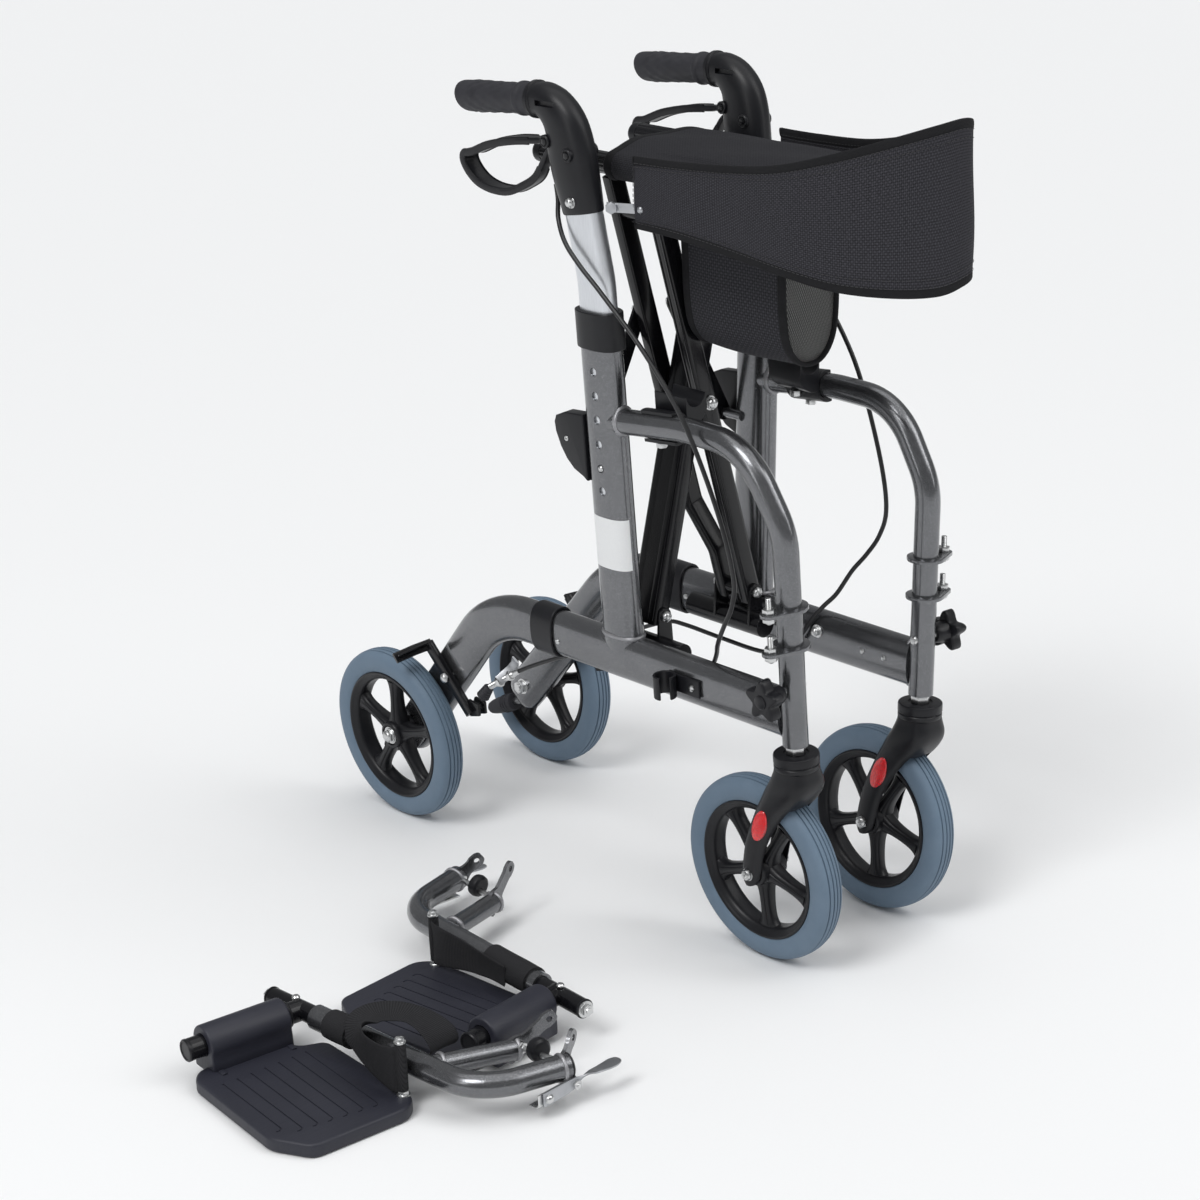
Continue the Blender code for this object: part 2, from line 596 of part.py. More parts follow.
# Star knob
outline = []
for i in range(30):
    t = 2 * math.pi * i / 30
    r = KNOB_R * (0.82 + 0.18 * math.cos(5 * t))
    outline.append((POST_Y + r * math.cos(t + 0.3), KNOB_Z + r * math.sin(t + 0.3)))
knob = prism(outline, 0.031, 0.045)
knob = combine(knob, [
    spin([(0.0085, 0.0165), (0.0095, 0.0180), (0.0120, 0.0330)], (0, POST_Y, KNOB_Z), 14, "x", closed=False),
    bar((0.0045, POST_Y, KNOB_Z), (0.020, POST_Y, KNOB_Z), KNOB_STUD_R, 10),
])
both(knob, "star_knob", "knob", "black_plastic")

# Brake arm with tab over the tyre
arm_line = [(0.1830, 0.1500), (0.2170, 0.1860), (0.2480, 0.2190)]
arm = sweep(side_line(arm_line, sum(ARM_OX) / 2), [(u, v * 1.0) for u, v in oval(0.0060, (ARM_OX[1] - ARM_OX[0]) / 2, 12, 6)])
tab = sweep(
    [Vector((ARM_OX[0] + 0.001, 0.2470, 0.2165)), Vector((0.0300, 0.2530, 0.2140)), Vector((0.0550, 0.2565, 0.2110))],
    oval(0.0022, 0.0060, 12, 5), across=Vector((0, 0.66, 0.75)),
)
lug = prism([(0.1700, 0.1640), (0.1700, 0.1500), (0.1860, 0.1455), (0.1920, 0.1560), (0.1870, 0.1660)], ARM_OX[0] - 0.009, ARM_OX[0] + 0.003)
arm = combine(arm, [tab, lug], [bar((0, *ARM_PIVOT), (0.04, *ARM_PIVOT), 0.003 + RUN, 10)])
both(arm, "brake_arm", "brake_arm", "black_tube")

# Brake cable: housing to brake arm
CABLE = (
    (0.0000, -0.0205, 0.7700), (0.0020, -0.0240, 0.7560), (0.0090, -0.0305, 0.7380), (0.0175, -0.0480, 0.7190), (0.0205, -0.0720, 0.6990),
    (0.0205, -0.0970, 0.6790), (0.0205, -0.1500, 0.6330), (0.0205, -0.1950, 0.5820), (0.0205, -0.2240, 0.5320), (0.0205, -0.2500, 0.4700),
    (0.0200, -0.2630, 0.4180), (0.0195, -0.2580, 0.3870), (0.0190, -0.2380, 0.3620), (0.0160, -0.2150, 0.3420), (0.0080, -0.2010, 0.3240),
    (-0.0050, -0.1950, 0.3145), (-0.0150, -0.1880, 0.3060), (-0.0205, -0.1760, 0.2860), (-0.0210, -0.1600, 0.2640), (-0.0205, -0.1380, 0.2520),
    (-0.0200, -0.1000, 0.2480), (-0.0200, -0.0400, 0.2480), (-0.0200, 0.0150, 0.2490), (-0.0190, 0.0450, 0.2450), (-0.0150, 0.1000, 0.2210),
    (-0.0060, 0.1420, 0.1980), (0.0020, 0.1640, 0.1820), (0.0050, 0.1720, 0.1710), (0.0050, 0.1745, 0.1665),
)


def smooth_line(points, gap):
    """Points of an even spacing along a Catmull-Rom curve through the given ones."""
    pts = [Vector(p) for p in points]
    dense = []
    for i in range(len(pts) - 1):
        p0 = pts[max(i - 1, 0)]
        p1 = pts[i]
        p2 = pts[i + 1]
        p3 = pts[min(i + 2, len(pts) - 1)]
        for k in range(12):
            t = k / 12
            dense.append(0.5 * (2 * p1 + (p2 - p0) * t + (2 * p0 - 5 * p1 + 4 * p2 - p3) * t * t + (3 * p1 - p0 - 3 * p2 + p3) * t ** 3))
    dense.append(pts[-1])
    total = sum((dense[i + 1] - dense[i]).length for i in range(len(dense) - 1))
    count = round(total / gap)
    out = [dense[0]]
    run = 0.0
    for i in range(len(dense) - 1):
        step = (dense[i + 1] - dense[i]).length
        while len(out) < count and run + step >= total * len(out) / count:
            out.append(dense[i].lerp(dense[i + 1], (total * len(out) / count - run) / step))
        run += step
    out.append(dense[-1])
    return out


REACH = {1: 0.022, -1: 0.0}
for word, s in SIDES:
    line = []
    for i, (ox, y, z) in enumerate(CABLE):
        back = REACH[s] * max(0.0, math.sin(math.pi * (i - 5) / 14)) if 5 < i < 19 else 0.0
        line.append((ox, y + back, z + back * 0.45 * (0.336 < z < 0.42)))
    emit(tube(smooth_line(line, 0.0225), 0.0024, 6), word + "_brake_cable", word + "_frame", "cable_jacket", s, flat=80)

# Lower pivot brackets: a round tube beside each rail with upright ears
for word, s in SIDES:
    x = s * LOWER_TUBE_X
    base = bar((x, -0.122, LOWER_TUBE_Z), (x, -0.012, LOWER_TUBE_Z), 0.0125, 16)
    if s < 0:
        ears = ((CROSS_Y - BAR_A_Y - 0.0035, CROSS_Y - BAR_A_Y - 0.0005), (CROSS_Y + BAR_A_Y + 0.0005, CROSS_Y + BAR_A_Y + 0.0035))
    else:
        ears = ((-0.1105, -0.1075), (-0.0589, -0.0559))
    more = []
    for lo, hi in ears:
        px = s * PIVOT_X
        outline = [(px + 0.0085 * math.cos(t), PIVOT_Z + 0.0085 * math.sin(t)) for t in [math.radians(a) for a in range(0, 181, 30)]]
        outline += [(px - 0.0110, LOWER_TUBE_Z), (px + 0.0110, LOWER_TUBE_Z)]
        more.append(prism(outline, lo, hi, "y"))
    more.append(bar((s * PIVOT_X, ears[0][0] - 0.004, PIVOT_Z), (s * PIVOT_X, ears[1][1] + 0.004, PIVOT_Z), CROSS_PIN_R, 12))
    for y in (-0.105, -0.030):
        more.append(bar((x, y, LOWER_TUBE_Z), (s * 0.0785, y, LOWER_TUBE_Z - 0.001), 0.0060, 10))
    emit(combine(base, more), word + "_pivot_bracket", word + "_frame", "black_tube")

# Cross frames
pin_hole = CROSS_PIN_R + RUN


def bar_between(start, way, length, half_y, half_w, y_shift=0.0):
    across = Vector((0, 1, 0))
    p0 = start + Vector((0, y_shift, 0))
    return sweep([p0 - way * 0.011, p0 + way * length], [(a, b) for a, b in oval(half_w, half_y, 16, 7)], across=across)


bar_a = bar_between(pivot_a, a_dir, ARM_L - SEAT_RAIL_R - GAP, BAR_A_Y, BAR_W)
q_a = pivot_a + a_dir * LINK_R
bar_a = combine(
    bar_a,
    [
        bar(middle + Vector((0, -0.0400, 0)), middle + Vector((0, 0.0385, 0)), CROSS_PIN_R, 12),
        bar(Vector((q_a.x, CROSS_Y + 0.010, q_a.z)), Vector((q_a.x, LINK_Y[0] - GAP, q_a.z)), 0.0055, 10),
    ],
    [bar(pivot_a - Vector((0, 0.03, 0)), pivot_a + Vector((0, 0.03, 0)), pin_hole, 12)],
)
emit(bar_a, "cross_frame_a", "cross_a", "black_tube")
front_y = -0.0290
bar_front = bar_between(pivot_b, b_dir, ARM_L - SEAT_RAIL_R - GAP, 0.0070, BAR_W, front_y)
rear_points = []
for along, y in ((-0.011, -0.0660), (0.044, -0.0660), (0.096, -0.0425), (ARM_L - SEAT_RAIL_R - GAP, -0.0425)):
    p = pivot_b + b_dir * along
    rear_points.append(Vector((p.x, y, p.z)))
rear_path = rounded_path(rear_points, 0.02, math.radians(25))
normal = Vector((b_dir.z, 0, -b_dir.x))
bar_rear = sweep(rear_path, oval(0.0065, BAR_W, 16, 7), across=normal)
top_b = pivot_b + b_dir * (ARM_L - 0.050)
bar_b = combine(
    bar_front,
    [
        bar_rear,
        bar(pivot_b + Vector((0, front_y, 0)), Vector((pivot_b.x, -0.066, pivot_b.z)), 0.0085, 12),
        bar(top_b + Vector((0, front_y, 0)), Vector((top_b.x, -0.0425, top_b.z)), 0.0070, 12),
    ],
)
bar_b = combine(bar_b, cut=[
    bar(pivot_b - Vector((0, 0.06, 0)), pivot_b + Vector((0, 0.06, 0)), pin_hole, 12),
    bar(middle - Vector((0, 0.06, 0)), middle + Vector((0, 0.06, 0)), pin_hole, 12),
])
emit(bar_b, "cross_frame_b", "cross_b", "black_tube")
top_a_x = (pivot_a + a_dir * ARM_L).x
top_z = (pivot_a + a_dir * ARM_L).z
emit(bar((top_a_x, -0.287, top_z), (top_a_x, 0.064, top_z), SEAT_RAIL_R, 16), "seat_rail_left", "cross_a", "black_tube")
emit(bar((-top_a_x, -0.287, top_z), (-top_a_x, 0.064, top_z), SEAT_RAIL_R, 16), "seat_rail_right", "cross_b", "black_tube")

# Stabiliser links
for word, s in SIDES:
    q = pivot_b + b_dir * LINK_R
    u = Vector((s * LINK_U[0], 0, LINK_U[1]))
    v = Vector((-s * q.x if s > 0 else q.x, 0, q.z))
    way = (v - u).normalized()
    side = Vector((way.z, 0, -way.x))
    outline = []
    for centre, first in ((u, -1), (v, 1)):
        for a in range(-90, 91, 30):
            t = math.radians(a)
            p = centre + way * (first * 0.009 * math.cos(t)) + side * (first * 0.009 * math.sin(t))
            outline.append((p.x, p.z))
    link = prism(outline, LINK_Y[0], LINK_Y[1], "y")
    link = combine(link, cut=[bar((u.x, -0.05, u.z), (u.x, -0.02, u.z), 0.0042, 10)])
    emit(link, word + "_stabiliser_link", word + "_link", "black_tube")

# Folded seat, bag under it and the backrest band
SEAT = (
    (-0.0655, 0.8000), (-0.0600, 0.8052), (-0.0500, 0.8115), (-0.0360, 0.8160), (-0.0180, 0.8185), (0.0000, 0.8190),
    (0.0180, 0.8185), (0.0360, 0.8160), (0.0500, 0.8115), (0.0600, 0.8052), (0.0655, 0.8000),
)


def band(line, thick):
    """A closed outline of even thickness about a line of (u, v)."""
    pts = [Vector((p[0], p[1], 0)) for p in line]
    dirs, steps = tangents(pts)
    left = []
    right = []
    for i, (p, t) in enumerate(zip(pts, dirs)):
        n = Vector((-t.y, t.x, 0)) * (thick / 2)
        if 0 < i < len(pts) - 1:
            n /= max(0.6, t.dot(steps[i]))
        left.append(p + n)
        right.append(p - n)
    return [(p.x, p.y) for p in left + right[::-1]]


rows = []
for y, lift, squeeze in ((-0.272, 0.0, 0.985), (-0.240, 0.0, 1.0), (-0.160, 0.001, 1.0), (-0.080, 0.0, 1.0), (-0.040, 0.0, 0.985)):
    rows.append([Vector((x * squeeze, y, z + lift - 0.0018)) for x, z in band([p[:2] for p in SEAT], 0.006)])
emit(loft(rows), "seat", "cross_a", "fabric", flat=60)

BAG = ((0.0535, 0.7860), (0.0515, 0.7780), (0.0370, 0.7560), (0.0345, 0.7000), (0.0330, 0.6600), (0.0270, 0.6280), (0.0130, 0.6110), (0.0000, 0.6080),
       (-0.0130, 0.6110), (-0.0270, 0.6280), (-0.0330, 0.6600), (-0.0345, 0.7000), (-0.0370, 0.7560), (-0.0515, 0.7780), (-0.0535, 0.7860))
rows = []
for y, x_scale, z_lift in ((-0.250, 0.99, 0.0), (-0.246, 1.0, 0.0), (-0.120, 1.0, 0.0), (-0.116, 0.99, 0.0)):
    rows.append([Vector((x * x_scale, y, z + z_lift)) for x, z in BAG])
emit(loft(rows), "bag", "cross_a", "fabric", flat=60)

STRAP = (
    (-0.1134, -0.0825, 0.758, 0.776), (-0.1030, -0.1170, 0.758, 0.776), (-0.1000, -0.1220, 0.740, 0.803), (-0.0965, -0.1700, 0.737, 0.804), (-0.0905, -0.2400, 0.728, 0.808), (-0.0830, -0.2950, 0.718, 0.815),
    (-0.0670, -0.3500, 0.708, 0.830), (-0.0450, -0.4000, 0.706, 0.847), (-0.0220, -0.4350, 0.712, 0.861), (0.0000, -0.4450, 0.722, 0.866),
    (0.0220, -0.4370, 0.712, 0.862), (0.0450, -0.4050, 0.706, 0.850), (0.0670, -0.3550, 0.708, 0.834), (0.0830, -0.2950, 0.718, 0.818),
    (0.0900, -0.2400, 0.728, 0.808), (0.0950, -0.1700, 0.737, 0.804), (0.0985, -0.1220, 0.740, 0.803),
    (0.1030, -0.1170, 0.758, 0.776), (0.1134, -0.0825, 0.758, 0.776),
)
line = [(p[0], p[1]) for p in STRAP]
outline = band(line, 0.0030)
low = [p[2] for p in STRAP]
high = [p[3] for p in STRAP]
low = low + low[::-1]
high = high + high[::-1]
n = len(outline)
verts = [Vector((x, y, z)) for (x, y), z in zip(outline, low)] + [Vector((x, y, z)) for (x, y), z in zip(outline, high)]
half = n // 2
faces = []
for j in range(n):
    k = (j + 1) % n
    faces.append((j, k, n + k, n + j))
for j in range(half - 1):
    faces.append((j, n - 1 - j, n - 2 - j, j + 1))
    faces.append((n + j, n + j + 1, n + n - 2 - j, n + n - 1 - j))
emit(raw(verts, faces), "backrest_strap", "backrest", "fabric", flat=40)

# Holder clip on the near rail
clip = combine(
    box((OVAL_OX + GAP, -0.204, 0.262), (0.0180, -0.131, 0.303)),
    [
        box((0.0165, -0.200, 0.268), (0.0300, -0.194, 0.298)),
        box((0.0165, -0.160, 0.268), (0.0300, -0.154, 0.298)),
    ],
)
emit(clip, "holder_clip", "right_frame", "black_plastic", -1)

# Footrests lying on the floor
FEET = (
    ("footrest_a", (-0.5232, -0.0650), math.radians(-90 + 3.7), 1, 0.000, 9.4),
    ("footrest_b", (-0.3330, -0.2220), math.radians(90 - 3.1), -1, 0.004, 10.0),
)
FOOT_Z = 0.036
HANGER_R = 0.0125
EXT_R = 0.0095
PLATE_TOP = 0.014


def foot_point(u, v, z, row):
    _, (x0, y0), heading, mirror, _, _ = row
    way = Vector((math.cos(heading), math.sin(heading), 0))
    side = Vector((-way.y, way.x, 0)) * mirror
    return Vector((x0, y0, 0)) + way * u + side * v + UP * z


def skewed(u, v):
    """Plate and axle directions lean from the hanger line by the skew of the footrest being built."""
    return u * math.cos(skew) + v * math.sin(skew), -u * math.sin(skew) + v * math.cos(skew)


def foot_raw(shape, row):
    for vert in shape.data.vertices:
        p = vert.co.copy()
        vert.co = foot_point(p.x, p.y, p.z, row)
    bm = bmesh.new()
    bm.from_mesh(shape.data)
    if bm.calc_volume(signed=True) < 0:
        bmesh.ops.reverse_faces(bm, faces=bm.faces[:])
    bm.to_mesh(shape.data)
    bm.free()
    return shape


for row in FEET:
    name, _, heading, mirror, pull, lean = row
    skew = math.radians(lean)
    lift = name + "_lift"
    body(lift, foot_point(0, 0, FOOT_Z, row), "right_frame")
    body(name + "_extension", foot_point(0, 0, FOOT_Z, row), lift)
    body(name + "_plate", foot_point(0, 0, FOOT_Z, row), name + "_extension")
    latch_at = foot_point(0.2890 + pull, 0.062, 0.024, row)
    body(name + "_latch", latch_at, lift)

    # Hanger: main tube, branch tube, two hook plates, latch bracket
    main_path = rounded_path(
        [Vector((0.024, 0, FOOT_Z)), Vector((0.2495 + pull, 0, FOOT_Z)), Vector((0.2780 + pull, 0.086, FOOT_Z))],
        0.055, math.radians(15),
    )
    hanger = tube(main_path, HANGER_R, 12)
    pieces = [bar((0.181 + pull, 0.004, FOOT_Z), (0.2120 + pull, 0.086, FOOT_Z - 0.005), 0.0105, 12)]
    holes = []
    for base, tip in (((0.2756, 0.0800, 0.0348), (0.2640, 0.1088, 0.0593)), ((0.2105, 0.0820, 0.0310), (0.2269, 0.1204, 0.0598))):
        base = Vector(base) + OX * pull
        tip = Vector(tip) + OX * pull
        along = (tip - base).normalized()
        face = Vector((-along.y, along.x, 0)).normalized()
        across = face.cross(along)
        reach = (tip - base).length
        hook = [
            (-0.012, -0.010), (0.010, -0.012), (0.017, -0.007), (reach - 0.012, -0.007), (reach - 0.002, -0.005),
            (reach, 0.0), (reach - 0.002, 0.005), (reach - 0.012, 0.007), (0.012, 0.010), (-0.012, 0.010),
        ]
        pieces.append(loft([[base + along * a + across * b + face * w for a, b in hook] for w in (-0.002, 0.002)]))
        hole = base + along * (reach - 0.0078)
        holes.append(bar(hole - face * 0.01, hole + face * 0.01, 0.003, 8))
    pieces.append(box((0.2750 + pull, 0.036, 0.0150), (0.2885 + pull, 0.086, 0.0290)))
    hanger = combine(hanger, pieces)
    cuts = [tube([Vector((0.0, 0, FOOT_Z)), Vector((0.150, 0, FOOT_Z))], EXT_R + GAP, 12)]
    hanger = combine(hanger, cut=cuts + holes)
    emit(foot_raw(hanger, row), name + "_hanger", lift, "frame_metal")

    # Extension with the axle tube crossing it
    ext = tube([Vector((-0.042, 0, FOOT_Z)), Vector((0.085, 0, FOOT_Z))], EXT_R, 12)
    a0 = skewed(0, 0)
    a1 = skewed(0, -0.124)
    axle = bar((a0[0], a0[1], FOOT_Z), (a1[0], a1[1], FOOT_Z), 0.0110, 14)
    emit(foot_raw(combine(ext, [axle]), row), name + "_extension_tube", name + "_extension", "black_tube")

    # Plate hinged on the axle tube by its sleeve
    corners = [(0.0, -0.0225), (0.0240, -0.0205), (0.0340, 0.0065), (0.165, 0.0125), (0.181, 0.0105), (0.1945, -0.003), (0.1965, -0.104), (0.158, -0.128), (0.018, -0.1265), (0.004, -0.115)]
    plate_rings = []
    for z, inset in ((-0.0003, 0.0035), (0.0030, 0.0), (PLATE_TOP - 0.0020, 0.0), (PLATE_TOP, 0.0025)):
        ring = []
        for u, v in corners:
            cu = 0.095
            cv = -0.058
            ring.append((cu + (u - cu) * (1 - inset / 0.10), cv + (v - cv) * (1 - inset / 0.06), z))
        plate_rings.append([Vector((*skewed(u, v), z)) for u, v, z in ring])
    plate = loft(plate_rings)
    s0 = skewed(0, -0.020)
    s1 = skewed(0, -0.106)
    sleeve = bar((s0[0], s0[1], FOOT_Z), (s1[0], s1[1], FOOT_Z), 0.0190, 18)
    skirt = [skewed(u, v) for u, v in ((-0.0178, -0.0215), (0.0178, -0.0215), (0.0178, -0.1045), (-0.0178, -0.1045))]
    skirt = prism(skirt, 0.0075, FOOT_Z - 0.004, "z")
    b0 = skewed(0, 0.010)
    b1 = skewed(0, -0.130)
    clear = bar((b0[0], b0[1], FOOT_Z), (b1[0], b1[1], FOOT_Z), 0.0110 + RUN, 14)
    p0 = skewed(0.1714, 0.0060)
    post = bar((p0[0], p0[1], 0.0045), (p0[0], p0[1], 0.0745), 0.0028, 8)
    slots = []
    for k in range(7):
        v = -0.026 - k * 0.0148
        ends = [skewed(0.048, v), skewed(0.048, v + 0.0022), skewed(0.150, v + 0.0022), skewed(0.150, v)]
        slots.append(prism(ends, PLATE_TOP - 0.0008, PLATE_TOP + 0.01, "z"))
    plate = combine(plate, [post], slots)
    roller = combine(sleeve, [skirt], [clear])
    plate = combine(plate, [roller])
    emit(foot_raw(plate, row), name + "_plate", name + "_plate", "black_plastic")

    # Latch lever hanging off the bracket
    face = 0.2885 + GAP + pull
    lever = combine(
        box((face, 0.042, 0.0165), (face + 0.0020, 0.092, 0.0290)),
        [box((face + 0.0004, 0.0885, 0.0270), (face + 0.0130, 0.134, 0.0300))],
    )
    emit(foot_raw(lever, row), name + "_latch_lever", name + "_latch", "latch_steel")

    # Webbing heel loop from the post, over the hanger and back along its far side
    slide = 0.0 if mirror > 0 else -0.024
    heel = (
        (0.1640, -0.0290, 0.0400, (0, 0, 1)), (0.1400, -0.0270, 0.0405, (0, 0, 1)), (0.1150 + slide, -0.0235, 0.0420, (-0.15, 0, 1)),
        (0.0950 + slide, -0.0215, 0.0510, (-0.6, 0, 0.8)), (0.0800 + slide, -0.0105, 0.0600, (-0.9, 0, 0.4)), (0.0760 + slide, 0.0060, 0.0575, (-1, 0, -0.1)),
        (0.0830 + slide, 0.0180, 0.0520, (-0.8, 0, -0.6)), (0.1020 + slide, 0.0260, 0.0460, (-0.3, 0, -1)), (0.1300 + slide, 0.0290, 0.0430, (0, 0, -1)),
    )
    rings = []
    for i, (u, v, z, wide) in enumerate(heel):
        t = (Vector(heel[min(i + 1, len(heel) - 1)][:3]) - Vector(heel[max(i - 1, 0)][:3])).normalized()
        wide = Vector(wide)
        wide = (wide - t * wide.dot(t)).normalized()
        flat = t.cross(wide)
        half = 0.0215
        rings.append([Vector((u, v, z)) + wide * a + flat * b for a, b in ((half, 0.001), (-half, 0.001), (-half, -0.001), (half, -0.001))])
    emit(foot_raw(loft(rings), row), name + "_heel_loop", name + "_plate", "webbing")

bodies["right_frame"][0].location = Vector((-BOX_X, -BOX_Y, -BOX_Z))
bpy.context.view_layer.update()
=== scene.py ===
import math

import bmesh
import bpy
from mathutils import Matrix, Vector


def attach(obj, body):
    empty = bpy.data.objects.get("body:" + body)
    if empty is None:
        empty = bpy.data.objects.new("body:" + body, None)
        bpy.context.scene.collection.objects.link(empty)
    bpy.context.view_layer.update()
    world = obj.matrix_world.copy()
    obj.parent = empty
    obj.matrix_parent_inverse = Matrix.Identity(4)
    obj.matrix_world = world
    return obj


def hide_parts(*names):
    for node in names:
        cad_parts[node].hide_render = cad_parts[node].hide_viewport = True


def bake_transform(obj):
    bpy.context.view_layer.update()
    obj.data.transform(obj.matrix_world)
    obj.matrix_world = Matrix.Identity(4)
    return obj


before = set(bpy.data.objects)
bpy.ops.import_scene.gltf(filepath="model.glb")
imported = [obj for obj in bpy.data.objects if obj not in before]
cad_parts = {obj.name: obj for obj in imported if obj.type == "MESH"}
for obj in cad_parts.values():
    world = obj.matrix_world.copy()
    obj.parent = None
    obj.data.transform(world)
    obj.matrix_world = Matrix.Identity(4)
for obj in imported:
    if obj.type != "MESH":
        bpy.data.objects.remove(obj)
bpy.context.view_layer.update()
print("frame loaded")

# Sizes are measured from the walker's own middle line on the floor, then moved by this
shift = Vector((0.260515, 0.02306, 0.000468))
sideways = Vector((1, 0, 0))
forward = Vector((0, 1, 0))
upward = Vector((0, 0, 1))
sides = (("left", 1), ("right", -1))
wheelRadius = 0.1
railHeight = 0.283
uprightY = -0.07
postY = -0.315


# Shader maths
class Wire:
    # one shader socket, so that a pattern can be written as a sum
    def __init__(self, tree, socket=None):
        self.tree = tree
        self.socket = socket

    def node(self, kind, settings=None, values=None, out=0):
        made = self.tree.nodes.new("ShaderNode" + kind)
        for key, value in (settings or {}).items():
            if key == "stops":
                ramp = made.color_ramp
                while len(ramp.elements) < len(value):
                    ramp.elements.new(0.5)
                for element, (place, colour) in zip(ramp.elements, value):
                    element.position = place
                    element.color = (*colour, 1) if len(colour) == 3 else colour
            else:
                setattr(made, key, value)
        for key, value in (values or {}).items():
            if isinstance(value, Wire):
                self.tree.links.new(value.socket, made.inputs[key])
            else:
                made.inputs[key].default_value = value
        return Wire(self.tree, made.outputs[out])

    def sum(self, operation, a, b=0.0):
        return self.node("Math", {"operation": operation}, {0: a, 1: b})

    def ridges(self):
        # the height of even ridges, one for each half turn
        return self.sum("ABSOLUTE", self.sum("SINE", self))

    def __add__(self, other):
        return self.sum("ADD", self, other)

    def __radd__(self, other):
        return self.sum("ADD", other, self)

    def __sub__(self, other):
        return self.sum("SUBTRACT", self, other)

    def __rsub__(self, other):
        return self.sum("SUBTRACT", other, self)

    def __mul__(self, other):
        return self.sum("MULTIPLY", self, other)

    def __rmul__(self, other):
        return self.sum("MULTIPLY", other, self)

    def above(self, level, soft):
        # 0 below the level, 1 above it, with a soft edge
        return self.node(
            "MapRange", {"clamp": True}, {0: self, 1: level - soft, 2: level + soft, 3: 0.0, 4: 1.0})

    def mixed(self, low, high):
        # this value picks between two colours
        low = low if isinstance(low, Wire) else (*low, 1)
        high = high if isinstance(high, Wire) else (*high, 1)
        return self.node("Mix", {"data_type": "RGBA", "clamp_factor": True}, {0: self, 6: low, 7: high}, 2)

    def noise(self, place, scale, detail=3.0, rough=0.5):
        return self.node(
            "TexNoise", None, {"Vector": place, "Scale": scale, "Detail": detail, "Roughness": rough})

    def part(self, vector, which):
        return self.node("SeparateXYZ", None, {0: vector}, which)


finishes = {}


def finish(name, build, **fixed):
    # build gives what varies over the surface, fixed are the shader's own numbers
    made = bpy.data.materials.new(name)
    made.use_nodes = True
    tree = made.node_tree
    shader = tree.nodes["Principled BSDF"]
    for key, value in fixed.items():
        socket = shader.inputs[key.replace("_", " ").title().replace("Ior", "IOR")]
        socket.default_value = (*value, 1) if isinstance(value, tuple) else value
    wire = Wire(tree)
    place = wire.node("TexCoord", None, None, 3)
    given = build(wire, place)
    for key, value in given.items():
        if key == "bump":
            height, depth, strength = value
            value = wire.node("Bump", None, {"Strength": strength, "Distance": depth, "Height": height})
            key = "Normal"
        tree.links.new(value.socket, shader.inputs[key])
    finishes[name] = made


def stretched(wire, place, scale):
    # noise drawn out along one axis
    return wire.noise(wire.node("Mapping", None, {0: place, 3: scale}), 1.0, 3.0)


def pearlPaint(wire, place):
    flake = wire.noise(place, 1900.0, 2.0, 0.6)
    soft = wire.noise(place, 22.0, 2.0)
    glint = flake.above(0.62, 0.05)
    base = soft.above(0.5, 0.25).mixed((0.12, 0.123, 0.13), (0.152, 0.155, 0.163))
    scuff = wire.noise(place, 160.0, 5.0, 0.7).above(0.7, 0.06)
    return {
        "Base Color": glint.mixed(base, (0.42, 0.42, 0.44)),
        "Roughness": 0.21 + soft * 0.06 + scuff * 0.08,
        "bump": (wire.noise(place, 420.0, 2.0), 0.0003, 0.1),
    }


def brushedSilver(wire, place):
    streak = stretched(wire, place, (1400.0, 1400.0, 30.0))
    return {
        "Base Color": streak.mixed((0.6, 0.62, 0.65), (0.8, 0.82, 0.85)),
        "Roughness": 0.26 + streak * 0.14,
        "bump": (streak, 0.0002, 0.05),
    }


def mouldedPlastic(wire, place):
    grain = wire.noise(place, 1500.0, 2.0, 0.6)
    cloud = wire.noise(place, 40.0, 3.0)
    return {
        "Base Color": cloud.mixed((0.0065, 0.0066, 0.0082), (0.012, 0.0123, 0.0152)),
        "Roughness": 0.29 + cloud * 0.08 + grain * 0.06,
        "bump": (grain, 0.0002, 0.16),
    }


def footPlastic(wire, place):
    grain = wire.noise(place, 1100.0, 2.0, 0.6)
    cloud = wire.noise(place, 22.0, 3.0)
    scuff = stretched(wire, place, (40.0, 900.0, 40.0))
    return {
        "Base Color": cloud.mixed((0.016, 0.017, 0.026), (0.027, 0.028, 0.041)),
        "Roughness": 0.42 + cloud * 0.12 + scuff.above(0.62, 0.08) * 0.1,
        "bump": (grain, 0.0003, 0.22),
    }


def plain(low, high, scale, detail, rough, base, gain, grain=None, depth=0.0, strength=0.0):
    # one cloud picks the colour and the roughness, one finer grain gives the relief
    def build(wire, place):
        cloud = wire.noise(place, scale, detail, rough)
        given = {"Base Color": cloud.mixed(low, high), "Roughness": base + cloud * gain}
        if grain:
            given["bump"] = (cloud if grain == "same" else wire.noise(place, *grain), depth, strength)
        return given
    return build


def wovenCloth(low, high, pitch, strength=0.5):
    # plain weave that follows the cloth's own map, whose units are metres
    def build(wire, place):
        cloth = wire.node("UVMap", {"uv_map": "cloth"})
        u = wire.part(cloth, 0) * (math.pi / pitch)
        v = wire.part(cloth, 1) * (math.pi / pitch)
        warp = wire.sum("SINE", u)
        weft = wire.sum("SINE", v)
        over = wire.sum("ABSOLUTE", warp) * 0.5 + wire.sum("ABSOLUTE", weft) * 0.5
        cross = warp * weft * 0.5 + 0.5
        heather = stretched(wire, cloth, (260.0, 900.0, 1.0))
        shade = wire.noise(place, 18.0, 3.0)
        mask = over * 0.45 + cross * 0.25 + heather * 0.45
        return {
            "Base Color": mask.above(0.62, 0.3).mixed(low, high),
            "Roughness": 0.78 + shade * 0.14,
            "bump": (over * 0.7 + heather * 0.5, 0.0006, strength),
        }
    return build


